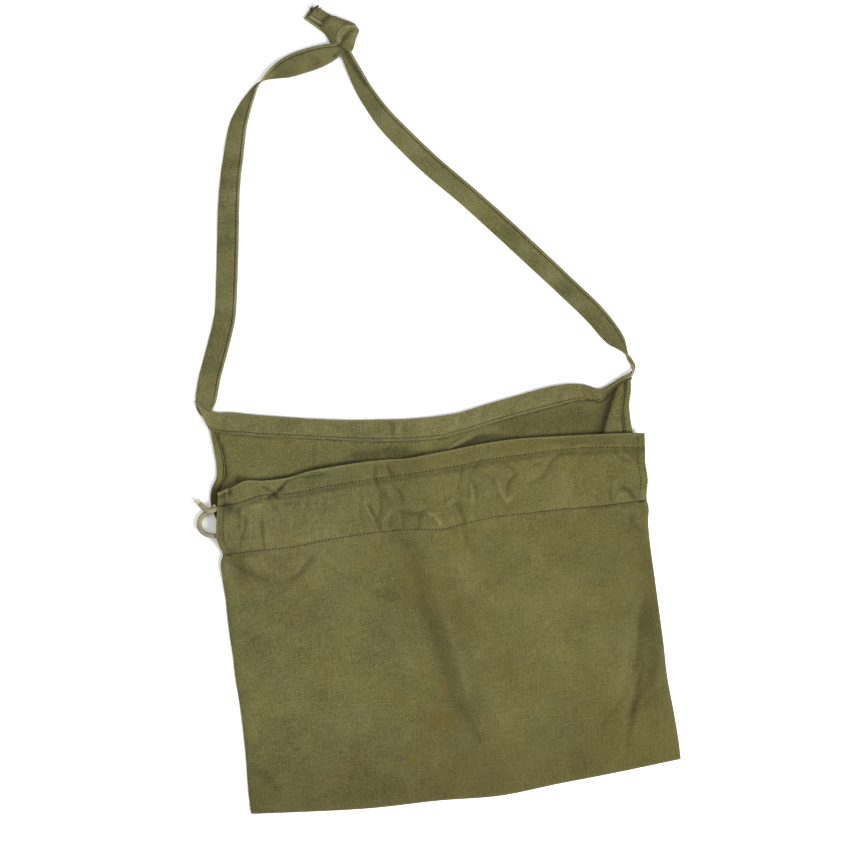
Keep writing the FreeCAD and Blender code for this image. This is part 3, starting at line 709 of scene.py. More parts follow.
def spline_points(name, route):
    """Points along the NURBS curve of a route, in metres."""
    data = bpy.data.curves.new(name, "CURVE")
    data.dimensions = "3D"
    data.resolution_u = 16
    spline = data.splines.new("NURBS")
    spline.points.add(len(route) - 1)
    for point, spot in zip(spline.points, route):
        point.co = (*spot, 1)
    spline.order_u = 3
    spline.use_endpoint_u = True
    guide = bpy.data.objects.new(name, data)
    line = bpy.data.meshes.new_from_object(guide)
    points = np.array([v.co for v in line.vertices])
    bpy.data.objects.remove(guide)
    bpy.data.curves.remove(data)
    bpy.data.meshes.remove(line)
    return points


def rope(name, line, tip=0.0, radius=CORD_RADIUS, around=24, step=0.55):
    """A three-strand cord along a line in bag millimetres: lobes that wind round it."""
    points, at = resample(line, step)
    turn = np.arange(around) / around * 2 * math.pi
    lobes = np.abs(np.cos(1.5 * (turn[None, :] - at[:, None] / STRAND_TURN * 2 * math.pi)))
    size = radius * (0.98 + 0.17 * lobes)
    rings = thread_rings(points, 1.0, around, tapered=False) - points[:, None]
    finish = np.zeros((len(points), around, 3))
    if tip:
        finish[:, :, 0] = ease(at, at[-1] - tip, at[-1] - tip * 0.3)[:, None] * 0.9
    finish[:, :, 1] = (1 - lobes) ** 2 * 0.9
    rings = points[:, None] + rings * size[:, :, None]
    return dress(tube_piece(name, rings, turn * radius, at, finish), CORD)


def frayed(name, line):
    """Loose fibres fanning out of a cord's cut end."""
    ahead = line[-1] - line[-4]
    ahead /= np.linalg.norm(ahead)
    t = np.linspace(0, 1, 5)[:, None]
    fibres = []
    for _ in range(FRAY_COUNT):
        aside = np.array([random.gauss(0, 1), random.gauss(0, 1), random.gauss(0, 0.6)])
        aside -= ahead * (aside @ ahead)
        start = line[-1] - ahead * 1.2 + aside * CORD_RADIUS * 0.42
        reach = FRAY_LENGTH * random.uniform(0.5, 1.0)
        fibre = start + ahead * reach * t + aside * FRAY_SPREAD * t ** 1.7
        fibre[:, 2] = np.maximum(fibre[:, 2], FIBRE_REST)
        fibres.append(fibre)
    return bundle(name, fibres, FRAY_RADIUS, PALE_THREAD, 4)


def make_drawstring():
    """The doubled cord inside the casing, and its two loose ends with their frayed tips."""
    turn_radius = (UPPER_RUN - LOWER_RUN) / 2
    left = (RUN[0].x - ORIGIN[0]) * 1000
    right = (RUN[1].x - ORIGIN[0]) * 1000 - CORD_RADIUS - turn_radius
    height = (RUN_LOW + RUN_HIGH) / 2
    bend = [(right + turn_radius * math.sin(a), LOWER_RUN + turn_radius * (1 - math.cos(a)), height)
            for a in np.linspace(0, math.pi, 15)]
    line = [(left, LOWER_RUN, height), *bend, (left + 4, UPPER_RUN, height)]
    run = rope("drawstring_in_casing", line, radius=CORD_RADIUS * 0.92, around=16, step=0.9)
    attach(run, "drawstring", "drawstring_run")
    for old, route, length, tip in (("drawstring_end_lower", LOWER_ROUTE, 0.0640, 3.0),
                                    ("drawstring_end_upper", UPPER_ROUTE, 0.0335, 6.0)):
        centre = spline_points(f"{old}_route", route)
        line = (centre - ORIGIN) * 1000
        piece = rope(f"{old}_cord", line, tip)
        fray = frayed(f"{old}_fray", line)
        attach(piece, "drawstring", old)
        attach(fray, "drawstring")


make_drawstring()


# ---------------------------------------------------------------- the front and its casing
POUCH, CASING, HEADER, ROLL, FACING = range(5)  # zones of the front sheet, up, over and down inside
FRONT_WIDTH = 451.0
POUCH_LENGTH = 287.0
CASING_LENGTH = 57.0
HEADER_LENGTH = 16.0
ROLL_RADIUS = 1.0
END_HEM = 7.0  # the short rows at the casing's ends run this far in
SEAM_FINE = [0.5, 1.1, 1.9, 2.9, 4.0, 5.2, 6.4, 7.4, 8.2, 9.0, 10.2, 12.2]
ROW_FINE = [0.5, 1.0, 1.7, 2.6, 3.8]
# Brown spots on the pouch: (x, y, half width, strength).
STAINS = [
    (-9, 111, 6, 0.8), (-12, 97, 5, 0.4), (-11, 75, 8, 1.0), (-25, 77, 5, 0.8), (-56, 45, 4, 0.8),
    (-52, 35, 5, 0.9), (-30, 50, 8, 0.3), (-15, 215, 12, 0.5), (-38, 236, 16, 0.35), (30, 262, 14, 0.4),
    (64, 118, 9, 0.3),
]


def front_rows():
    """Each row of the front sheet as its zone and its share of the way through it."""
    rows = []
    for zone, length, step in ((POUCH, POUCH_LENGTH, 3.4), (CASING, CASING_LENGTH, 1.3),
                               (HEADER, HEADER_LENGTH, 1.4)):
        shares = stations(length, step, ROW_FINE) / length
        rows += [(zone, share) for share in shares[(1 if zone else 0):]]
    for zone, count in ((ROLL, 6), (FACING, 15)):
        rows += [(zone, share) for share in np.linspace(0, 1, count)[1:]]
    return np.array(rows)


class FrontPlan:
    """Where the front sheet's points lie in the bag's plan, and how far they are from its lines."""

    def __init__(self):
        columns = stations(FRONT_WIDTH, 1.95, SEAM_FINE)
        s = (columns / columns[-1])[None, :]
        zone, share = (part[:, None] * np.ones_like(s) for part in front_rows().T)
        guess = -225 + FRONT_WIDTH * s
        bottom, lower, upper, top = (curve(line, guess)
                                     for line in (BOTTOM, LOWER_ROW, UPPER_ROW, CASING_TOP))
        self.foot = lower + 1.5
        y = np.select([zone == POUCH, zone == CASING, zone == HEADER, zone == ROLL],
                      [bottom + (lower - bottom) * share, lower + (upper - lower) * share,
                       upper + (top - upper) * share, top + 0 * share],
                      top - 0.6 + (self.foot - top + 0.6) * share)
        inset = np.where(zone == FACING, 1.6 * ease(share, 0, 0.1), 0.0)
        left, right = curve(LEFT_SIDE, y) + inset, curve(RIGHT_SIDE, y) - inset
        self.x, self.y = left + (right - left) * s, y
        self.zone, self.share, self.upper, self.top = zone, share, upper, top
        self.side = np.minimum(self.x - left, right - self.x)
        self.above = y - bottom
        self.from_lower = y - lower
        self.to_upper = upper - y
        self.swell = ease(self.from_lower, 0, 13)
        self.raised = (creased(self.x, y, POUCH_CREASES) * (zone == POUCH)
                       + creased(self.x, y, CASING_CREASES) * (zone > POUCH))


def front_slack(plan):
    """The mouth's height and the front's, from the seams, the slack cloth and the cord inside."""
    x, y, side, zone = plan.x, plan.y, plan.side, plan.zone
    inner = 1 - np.clip(np.abs(x) / 226.5, 0, 1) ** 2.4
    rise = curve([(-16, 0.2), (0, 1.3), (45, 5.2), (140, 7.8), (240, 9.3), (276, 9.7)], np.minimum(y, 276))
    seam = 1.5 + 1.9 * (1 - np.exp(-side / 2.2)) * (1 - np.exp(-plan.above / 2.6))
    corner = 2.8 * bell(side, 14)
    pouch = seam + rise * inner + corner * ease(y, 232, 272)
    mouth = seam + 9.7 * inner + corner
    channel = RUN_HIGH + CLOTH + 1.3
    drop = 1.2 + 2.2 * ease(plan.upper, 326, 331)
    casing = mouth + (channel - mouth) * plan.swell
    casing -= drop * (1 - ease(plan.to_upper, 0.5, 7.5))
    header = channel - drop - 2.9 * ease(y - plan.upper, 0, 17)
    whole = np.select([zone == POUCH, zone == CASING], [pouch, casing], header)
    return mouth, whole - np.where(zone > POUCH, 1.2 * bell(side, 6) * plan.swell, 0)


def front_relief(plan):
    """The heights added by bulges, puckers, creases, sunk rows and the hems at the casing's ends."""
    x, y, side, from_lower, to_upper = plan.x, plan.y, plan.side, plan.from_lower, plan.to_upper
    pouch, casing, by_lower = plan.zone == POUCH, plan.zone > POUCH, plan.zone < HEADER
    bulk = waves(x, y, 3, 62) * 1.0 + waves(x, y, 4, 24) * 0.34
    z = np.where(pouch, bulk * ease(side, 4, 40) * ease(plan.above, 4, 30) * ease(-from_lower, 2, 26), 0)
    ripple = waves(x, y, 5, 26) * 0.42 + waves(x, y, 6, 12) * 0.32 + waves(x, y, 9, 6.5) * 0.12
    z += np.where(casing, ripple * ease(side, 2, 14), 0)
    pulls = np.sin(x * 2 * math.pi / 8.4 + 3 * waves(x, y * 0, 8, 30)) * 0.42
    for away, reach, strength, part in ((from_lower, 5, 1.0, by_lower), (to_upper, 4, 0.8, casing)):
        z += pulls * np.exp(-np.abs(away) / reach) * ease(np.abs(away), 0, 1.4) * strength * part
        z -= 0.4 * bell(away, 0.9) * part
    z += plan.raised * np.where(casing, ease(from_lower, 0, 5), ease(-from_lower, 0, 5))
    hem = 0.5 * (1 - ease(side, END_HEM + 0.6, END_HEM + 1.8)) - 0.35 * bell(side - END_HEM, 0.7)
    return z + (hem * plan.swell + 0.5 * bell(side, 1.2)) * casing


def front_finish(plan):
    """How worn, dirty and stained each point of the front is, with painted shade in its creases, inside the
    casing and in broad bands, darker towards the bottom and the right.
    """
    x, y, side, zone, raised = plan.x, plan.y, plan.side, plan.zone, plan.raised
    pouch, casing, shown, by_lower = zone == POUCH, zone > POUCH, zone < ROLL, zone < HEADER
    sewn = casing & shown
    worn = 0.6 * bell(y - plan.top, 0.7) * ((zone > CASING) & (zone < FACING))
    worn += 0.5 * bell(side, 0.8) + 0.35 * bell(plan.above, 1.0)
    worn += np.clip(raised - 0.3, 0, 2) * np.where(casing, 0.3, 0.12) * shown
    worn += 0.11 * ease(-x, 10, 130) * ease(y, 215, 265) * shown
    worn += 0.25 * bell(plan.from_lower, 5) * np.clip(waves(x, y, 11, 14), 0, 1) * by_lower
    dirt_and_shade = 0.22 * bell(plan.from_lower, 1.0) * by_lower
    dirt_and_shade += 0.45 * bell(plan.from_lower, 0.8) * ease(x, 100, 190) * by_lower
    # Darker along the upper row, with painted shade in the crease along the upper row's left end.
    dirt_and_shade += (0.2 * bell(plan.to_upper, 1.0) + 0.5 * bell(plan.to_upper, 0.8) * ease(-x, 150, 162)) * sewn
    dirt_and_shade += 0.5 * bell(side - END_HEM, 0.55) * sewn * plan.swell
    # Painted shade in the creases' valleys and on the casing's facing inside.
    dirt_and_shade += np.clip(-raised - 0.2, 0, 4) * np.where(casing, 0.42, 0.26) * shown + 0.4 * (zone == FACING)
    # Painted shade, darker towards the bottom and the right.
    low = 0.5 * ease(110 - y, 0, 110) * (1 - 0.75 * ease(x, 110, 190))
    dirt_and_shade += (low + 0.18 * ease(x, 70, 190)) * pouch + 0.12 * ease(x, 90, 190)
    # Broad painted shade.
    dirt_and_shade += creased(x, y, FRONT_SHADE) * shown
    stain = 0.24 * ease(x, -110, 0) + 0.12 * ease(60 - y, 0, 40)
    for spot_x, spot_y, size, strength in STAINS:
        stain += strength * bell(np.hypot(x - spot_x, y - spot_y), size) * pouch
    return np.clip(np.stack([worn, dirt_and_shade, stain], axis=2), 0, 1)


def make_front():
    """One cloth: up the pouch, over the casing's top edge and down its inner side.

    It gives the points, the rows' zones, the distance along the cloth and the marks.
    """
    plan = FrontPlan()
    y, zone, share, top = plan.y, plan.zone, plan.share, plan.top
    mouth, z = front_slack(plan)
    z += front_relief(plan)
    from_cord = np.minimum(np.abs(y - LOWER_RUN), np.abs(y - UPPER_RUN))
    cover = RUN_HIGH + CLOTH + 0.2 - 0.3 * np.maximum(from_cord - 1, 0) ** 2
    z = np.where((zone > POUCH) & (zone < ROLL), np.maximum(z, cover), z)
    edge = z[zone[:, 0] == HEADER][-1][None, :]

    from_foot = y - plan.foot
    turn = share * math.pi
    hang = curve([(0, 11.0), (4, 9.0), (12, FACING_LOW + 0.3), (90, FACING_LOW + 0.3)], from_foot)
    inside = ease(top - y, 1, 13)
    hang = (edge - 2 * ROLL_RADIUS) * (1 - inside) + hang * inside
    hang = np.minimum(hang, np.where(from_foot < 12, mouth - 1.4 + 0.1 * from_foot, 99))
    z = np.select([zone == ROLL, zone == FACING], [edge - ROLL_RADIUS * (1 - np.cos(turn)), hang], z)
    plan.y = np.where(zone == ROLL, top + ROLL_RADIUS * np.sin(turn), y)
    along = np.select([zone < ROLL, zone == ROLL], [y, top + share * 3], 2 * top - y + 3)
    return np.stack([plan.x, plan.y, z], axis=2), zone[:, 0], along, front_finish(plan)


front_grid, front_zone, front_along, front_marks = make_front()
front = dress(shell("front_cloth", front_grid, front_marks, along=front_along), FRONT_CLOTH)
attach(front, CASING_FOLD, "front_panel", "casing_front", "casing_facing", "casing_hem_left",
       "casing_hem_right", "side_seam_left", "side_seam_right", "bottom_seam")


def make_front_stitches():
    """The two long rows of the casing, the hems at its ends, and the bar tacks at the mouth."""
    pouch_top = np.nonzero(front_zone == POUCH)[0][-1]
    casing_top = np.nonzero(front_zone == CASING)[0][-1]
    header_top = np.nonzero(front_zone == HEADER)[0][-1]
    sew("casing_row_lower", front_grid[pouch_top, 3:-4], "pouch", "casing_stitch_lower")
    sew("casing_row_upper", front_grid[casing_top, 1:-1], "casing", "casing_stitch_upper")
    for end, column in (("left", 8), ("right", -9)):
        line = front_grid[pouch_top + 4:header_top - 2, column]
        sew(f"casing_row_{end}", line, "casing", f"casing_stitch_{end}", thick=0.8)
    arch = np.array([[0, 0, 0], [0, 0, 0.2], [0, 0, 0.2], [0, 0, 0]])
    for name, column in (("bar_tack_left", 7), ("bar_tack_right", -8)):
        spot = front_grid[pouch_top - 3, column]
        lines = []
        for step in np.linspace(-2.5, 2.5, 7):
            start = spot + np.array([step, -0.8, 0.1])
            lines.append(np.linspace(start, start + np.array([0.5, 1.6, 0]), 4) + arch)
        attach(bundle(f"{name}_thread", lines, 0.2, THREAD), "pouch", name)


make_front_stitches()


def make_loose_threads():
    """Fine broken threads along worn stretches of the edges, each from a spot on its heading."""
    right = [(226.5 + 0.5 * math.sin(n * 2.3), 247 + n * 1.9, 4.2, -25 + 17 * (n % 4)) for n in range(13)]
    casing = [(227.5 + 0.4 * (n % 3), 283 + n * 4.2, 12.2, 10 + 21 * (n % 3)) for n in range(5)]
    low = [(-228.2 + n * 0.5, 3.5 + n * 2.1, 1.8, 196 + 23 * (n % 3)) for n in range(6)]
    t = np.linspace(0, 1, 6)
    for part, body, spots in (("right", "pouch", right), ("casing", "casing", casing), ("low", "pouch", low)):
        lines = []
        for x, y, z, heading in spots:
            turn = math.radians(heading + random.uniform(-20, 20))
            reach = random.uniform(1.6, 4.6) * t
            bend = random.uniform(-1.2, 1.2) * t ** 2
            lines.append(np.stack([x + math.cos(turn) * reach - math.sin(turn) * bend,
                                   y + math.sin(turn) * reach + math.cos(turn) * bend,
                                   z - 1.2 * t ** 2], axis=1))
        attach(bundle(f"edge_threads_{part}", lines, 0.16, THREAD, 4), body)


make_loose_threads()


# ---------------------------------------------------------------- the back, its hems and binding
BACK_WIDTH = 446.0
BINDING_LENGTH = 458.0
BINDING_WIDTH = 22
BINDING_ROW = 0.86  # the row's share of the way down the binding
HEM_ROW = 0.84  # and of the way in across a hem
# Where the sharp fold runs up the flap's right corner, as (y, x).
FLAP_FOLD = [(345, 189.5), (356, 193.5), (370, 199.5), (384, 206), (398, 213)]
# The turned edges' widths up each side, as (y, width).
HEM_WIDTHS = {-1: [(270, 8.5), (345, 8.6), (385, 8.0), (400, 5.6), (408, 2.8)],
              1: [(270, 8.5), (345, 8.8), (375, 7.4), (392, 6.6), (402, 5.0)]}


def back_height(x, y):
    """The outer face of the back cloth above the table, where it lies on its own."""
    wavy = waves(x, y, 21, 40) * 0.5 + waves(x, y, 22, 18) * 0.16
    flat = 1.35 + 0.6 * ease(y, 330, 350) + 0.9 * ease(y, 335, 352)
    near_mouth = 0.5 * bell(y - curve(CASING_TOP, x) - 6, 12)
    return flat + (wavy + 0.6 + creased(x, y, FLAP_CREASES)) * ease(y, 285, 335) + near_mouth


def edge_lift(side, y):
    """How the back's edges stand up over the end of the mouth's seams."""
    return 2.6 * bell(side, 18) * ease(y, 225, 268) * (1 - ease(y, 280, 330))


def left_end_shade(y):
    """The painted shade beside the casing's left end."""
    return 0.7 * ease(y, 300, 316) * (1 - ease(y, 346, 354))


def make_back():
    """The points and marks of the back panel and its flap, as one cloth."""
    columns = stations(BACK_WIDTH, 2.2, [0.6, 1.6, 3.2, 5.0, 7.0])
    s = (columns / columns[-1])[None, :]
    t = np.concatenate([np.linspace(0, 0.79, 84), np.linspace(0.79, 1, 46)[1:]])[:, None]
    guess = -222 + BACK_WIDTH * s
    low = curve(BOTTOM, guess)
    y = low + (np.minimum(curve(BACK_TOP, guess) - 1.0, 422.5) - low) * t
    left, right = curve(BACK_LEFT, y), curve(BACK_RIGHT, y)
    x = left + (right - left) * s
    side = np.minimum(x - left, right - x)
    top = curve(CASING_TOP, x)
    folds = creased(x, y, FLAP_CREASES)
    beyond = x - curve(FLAP_FOLD, y)
    z = back_height(x, y) + edge_lift(side, y) + 0.25 * bell(side, 1.5)
    ridge = 1.5 * ease(beyond, 0, 3) * np.exp(-np.maximum(beyond, 0) / 9)
    z += ridge * ease(y, 338, 350) * (1 - ease(y, 388, 400))

    # All the darkening of the back is painted shade: under the front, where the mouth stands off it, in the
    # creases' valleys, beside the hems' inner edges, left of the flap's corner fold, under the binding's
    # lower edge and beside the casing's left end.
    covered = 1 - ease(y, top - 30, top + 2)
    dirt_and_shade = 0.5 * covered + 0.75 * np.minimum(creased(x, y, MOUTH_SHADE), 1) * (1 - covered)
    dirt_and_shade += np.clip(-folds - 0.4, 0, 2) * 0.22
    hem = np.where(x < 0, curve(HEM_WIDTHS[-1], y), curve(HEM_WIDTHS[1], y))
    dirt_and_shade += 1.1 * bell(side - hem - 0.6, 1.0) * ease(y, 330, 345)
    fold_fade = np.exp(-np.where(beyond < 0, -beyond / 9, (beyond / 0.9) ** 2))
    dirt_and_shade += 1.7 * fold_fade * ease(y, 338, 347) * ease(beyond, -30, 0)
    dirt_and_shade += 0.75 * bell(curve(BINDING_LOW, x) - y - 0.5, 0.9) + ease(-x, 211, 217) * left_end_shade(y)
    worn = 0.4 * bell(side, 1.0) + np.clip(folds - 0.8, 0, 1) * 0.25
    finish = np.stack([np.clip(worn, 0, 1), np.clip(dirt_and_shade, 0, 1.35), 0 * x], axis=2)
    return np.stack([x, y, z], axis=2), finish


back = dress(shell("back_cloth", *make_back()), BACK_CLOTH)
attach(back, FLAP_TURN, "back_panel", "back_flap")


def make_hems():
    """The turned edges at both sides of the back, each with its row of stitches."""
    steps = [0, 0.05, 0.14, 0.3, 0.5, 0.68, 0.78, HEM_ROW, 0.9, 0.95, 1.0]
    for end, sign, outline in (("left", -1, BACK_LEFT), ("right", 1, BACK_RIGHT)):
        y = np.linspace(272, HEM_WIDTHS[sign][-1][0], 76)[:, None]
        s = np.array(steps)[None, :]
        wide = curve(HEM_WIDTHS[sign], y)
        x = curve(outline, y) - sign * s * wide
        y = y + 0 * s
        from_row = (s - HEM_ROW) * wide
        z = back_height(x, y) + edge_lift(s * wide, y) + 0.72
        z += 0.28 * np.sin(y / 5.2 + sign) * waves(x, y, 31, 9) - 0.62 * (s > 0.99)
        z -= 0.4 * bell(from_row, 0.6) + 0.5 * bell(s * wide, 0.5)
        worn = 0.5 * bell(s * wide, 0.9) + 0.3 * bell((s - 1) * wide, 0.5)
        # Darker along the row; on the left hem, painted shade beside the casing's left end.
        dirt_and_shade = np.clip(0.9 * bell(from_row, 0.8) + (sign < 0) * left_end_shade(y), 0, 1)
        facing_up = slice(None, None, -sign)  # columns run to the right on both sides
        grid = np.stack([x, y, z], axis=2)[:, facing_up]
        finish = np.stack([worn, dirt_and_shade, 0 * x], axis=2)[:, facing_up]
        hem = dress(shell(f"back_hem_{end}_cloth", grid, finish, 0.6), BACK_CLOTH)
        attach(hem, FLAP_TURN, f"back_hem_{end}", f"flap_hem_{end}")
        seam = grid[28:, steps.index(HEM_ROW) if sign < 0 else -1 - steps.index(HEM_ROW)]
        sew(f"back_hem_{end}_row", seam, FLAP_TURN, f"flap_stitch_{end}", pitch=3.2, length=2.3)


make_hems()


def make_binding():
    """The folded strip over the back's top edge, drawn out into the fold at the left corner."""
    columns = stations(BINDING_LENGTH, 2.6, [0.7, 1.6, 3.0, 5.0])
    s = (columns / columns[-1])[None, :]
    top_x = -229.3 + (227.2 + 229.3) * s
    low_x = -217.8 + (228.0 + 217.8) * s
    front_side = [1.0, 0.97, 0.93, 0.89, BINDING_ROW, 0.83, 0.78, 0.68, 0.56, 0.44, 0.32, 0.22, 0.13,
                  0.07, 0.03, 0.01]
    back_side = [0.0, 0.01, 0.04, 0.1, 0.22, 0.4, 0.6, 0.8, 0.93]
    q = np.array(front_side + back_side)[:, None]
    behind = (np.arange(len(q)) >= len(front_side))[:, None]
    crest = behind & (q < 0.005)
    top_y = curve(BACK_TOP, top_x)
    x = top_x + (low_x - top_x) * q
    y = top_y + (curve(BINDING_LOW, low_x) - top_y) * q
    from_row = (q - BINDING_ROW) * BINDING_WIDTH
    ground = back_height(x, y)
    folds = creased(x, y, BINDING_CREASES)
    lip = 1.6 * ease(-x, 208, 220)
    puff = 0.35 * np.sin(np.pi * q) + (waves(x, y, 41, 10) * 0.3 + folds) * ease(q, 0.02, 0.2)
    over = ground + 0.95 + puff + lip
    over += 1.3 * ease(x, 196, 210) * bell(q - 0.3, 0.3) - 0.5 * bell(from_row, 0.8) - 0.75 * (q > 0.985)
    under = np.minimum(np.maximum(ground - CLOTH - 0.35, 0.75) + 0.3 * lip, over - 1.6)
    z = np.select([crest, behind, q < 0.02], [(over + under) / 2, under, over - 0.35], over)
    y = y + 0.35 * crest
    along = (top_y - y) * np.where(behind, -1, 1)
    worn = 0.5 * bell(q * BINDING_WIDTH, 1.1) + 0.35 * ease(-x, 212, 224)
    worn += 0.45 * ease(x, 200, 214) * bell(q - 0.12, 0.2)
    # Painted shade in the creases' valleys and along the lower edge.
    dirt_and_shade = 0.25 * bell(from_row, 0.8) + 0.3 * np.clip(-folds - 0.2, 0, 2)
    dirt_and_shade += 0.5 * bell((q - 1) * BINDING_WIDTH, 0.5) + 0.22 * ease(x, 90, 160)
    dirt_and_shade += 0.45 * ease(-x, 176, 210) * bell((q - 0.9) * BINDING_WIDTH, 1.6)
    dirt_and_shade += 0.95 * ease(x, 193, 203) * ease(q, 0.42, 0.62) * ~behind
    finish = np.clip(np.stack([worn, dirt_and_shade, 0 * x], axis=2), 0, 1)
    grid = np.stack([x, y, z], axis=2)
    piece = dress(shell("top_binding_cloth", grid, finish, 0.55, along), TIE_CLOTH)
    attach(piece, TIE_TURN, "top_binding", "strap_corner_left")
    row = grid[front_side.index(BINDING_ROW), 6:-4]
    sew("top_binding_row", row, "flap", "binding_stitch", thick=0.8, pitch=3.0, length=2.4)


make_binding()


# ---------------------------------------------------------------- the ties
# Offsets across a tie's upper face, -1 to 1, and how far the face drops there.
SECTION = [(-1.0, 1.0), (-0.97, 0.55), (-0.9, 0.22), (-0.75, 0.06), (-0.5, 0.0), (-0.25, 0.02), (0.0, 0.0),
           (0.25, 0.02), (0.45, 0.02), (0.58, 0.05), (0.63, 0.2), (0.66, 0.55), (0.7, 0.6), (0.74, 0.25),
           (0.79, 0.0), (0.88, 0.02), (0.95, 0.3), (1.0, 1.0)]
ROW_SPOT = 11  # the point of the section that the row of stitches is sewn at
STRIP_FROM = 0.45  # the part of the section beyond here keeps its width where a tie is drawn in
TIE_HALF = 11.2
SPLIT = 24  # points per stretch of a tie's path
# Painted deep shade where the turns of the knot meet: (half width, strength, points).
KNOT_SHADE = [
    (1.5, 0.8, (-46.8, 810.5), (-45.4, 814.2), (-40.5, 817.6), (-35.0, 819.6)),
    (2.2, 0.9, (-31, 789.6), (-28, 784), (-24, 779)),
    (1.2, 0.7, (-45.5, 789.6), (-37, 791.4), (-31, 791.6)),
    (1.6, 0.7, (-39.0, 776.0), (-33.5, 779.5), (-29, 781)),
    (1.5, 0.9, (-25, 782), (-21.7, 770), (-16.4, 759), (-12.6, 750), (-7.0, 740)),
]


def ribbon(name, points, seed, step=1.5, ripple=0.5):
    """A folded strip along a path, with a sunk row near one edge and small cross ripples.

    Each point is x, y, height, half width, half thickness and roll in degrees. It gives the piece
    and the line that its row of stitches follows.
    """
    last = len(points) - 1
    path = smooth_line(points, range(last + 1), np.linspace(0, last, last * SPLIT + 1))
    row, at = resample(path, step, axes=2)
    centre, half, thick, roll = row[:, :3], row[:, 3:4], row[:, 4:5], np.radians(row[:, 5:6])
    ahead = np.gradient(centre[:, :2], axis=0)
    ahead /= np.linalg.norm(ahead, axis=1, keepdims=True)
    side = np.stack([ahead[:, 1], -ahead[:, 0]], axis=1)
    top = np.array(SECTION)
    offset = np.concatenate([top[:, 0], top[-2:0:-1, 0]])
    drop = np.concatenate([1 - top[:, 1], -(1 - top[-2:0:-1, 1] * 0.6)])
    strip = np.clip(TIE_HALF / half, 1, 1.8)
    spread = np.where(offset >= STRIP_FROM, 1 - (1 - offset) * strip,
                      (offset + 1) / (STRIP_FROM + 1) * (2 - (1 - STRIP_FROM) * strip) - 1)
    across = spread * half
    down = at[:, None] + 0 * across
    wobble = (waves(down, across * 0.5, seed, 11) + waves(down, across * 0.3, seed + 1, 34)) * ripple
    up = drop * thick + wobble * 0.8
    turned = across * np.cos(roll) - up * np.sin(roll)
    height = across * np.sin(roll) * 0.42 + up * np.cos(roll)
    rings = np.empty((*across.shape, 3))
    rings[:, :, :2] = centre[:, None, :2] + side[:, None] * turned[:, :, None]
    rings[:, :, 2] = np.maximum(centre[:, 2:3] + height, 0.1)
    groove = (offset > 0.64) & (offset < 0.72)
    rim = (offset > 0.76) & (offset < 0.97)
    # Painted highlight on the ripples' crests; painted shade in their troughs and where the knot's turns
    # meet.
    worn = 0.6 * bell(1 - np.abs(offset), 0.07) + np.clip(wobble, 0, 1) * 0.3
    worn += (0.6 * strip - 0.3) * rim + 0.08 * (np.cos(roll) < 0)
    dirt_and_shade = 0.9 * groove + np.clip(-wobble, 0, 1) * 0.5 + 0.07 * (np.cos(roll) > 0)
    dirt_and_shade += np.maximum(creased(rings[:, :, 0], rings[:, :, 1], KNOT_SHADE), 0)
    finish = np.clip(np.stack([worn, dirt_and_shade, 0 * dirt_and_shade], axis=2), 0, 1)
    piece = dress(tube_piece(name, rings, offset * 11, at, finish), TIE_CLOTH)
    seen = np.where(np.cos(roll[:, 0]) > 0, ROW_SPOT, len(offset) - ROW_SPOT)
    return piece, rings[np.arange(len(rings)), seen]


# Each tie's points from the corner of the bag to the knot, as ribbon() takes them.
LEFT_TIE = [
    (-217.5, 419.0, 2.3, 4.5, 0.9, 0), (-219.5, 429.0, 2.4, 9.0, 0.9, 0),
    (-217.2, 440.0, 2.0, 11.2, 0.95, 0), (-209.9, 462.9, 1.6, 11.4, 1.0, 0),
    (-197.5, 493.0, 1.5, 11.4, 1.0, 0), (-186.5, 523.0, 1.8, 11.3, 1.0, 4),
    (-180.6, 554.5, 1.9, 11.3, 1.0, 5), (-173.2, 601.0, 1.5, 11.4, 1.0, 0),
    (-168.4, 632.0, 1.6, 11.2, 1.0, -3), (-162.4, 663.0, 1.9, 10.8, 1.0, 3),
    (-155.2, 690.0, 1.8, 10.5, 1.0, 5), (-148.2, 714.3, 2.1, 9.8, 1.0, 12),
    (-142.1, 728.3, 2.4, 9.0, 1.0, 22), (-133.5, 742.0, 3.0, 7.6, 1.0, 40),
    (-123.7, 755.5, 3.6, 5.6, 0.9, 64), (-115.4, 761.6, 3.6, 4.4, 0.9, 90),
    (-107.6, 766.0, 3.0, 6.3, 0.9, 128), (-98.4, 769.6, 2.5, 8.4, 1.0, 158),
    (-88.0, 772.2, 2.3, 11.0, 1.0, 176), (-75.0, 775.2, 2.3, 12.2, 1.0, 180),
    (-56.0, 778.6, 2.8, 12.0, 1.1, 180), (-41.0, 781.4, 4.4, 9.6, 1.1, 178),
    (-30.0, 784.4, 5.6, 6.0, 1.1, 176), (-23.0, 787.2, 6.0, 4.2, 1.0, 176),
]
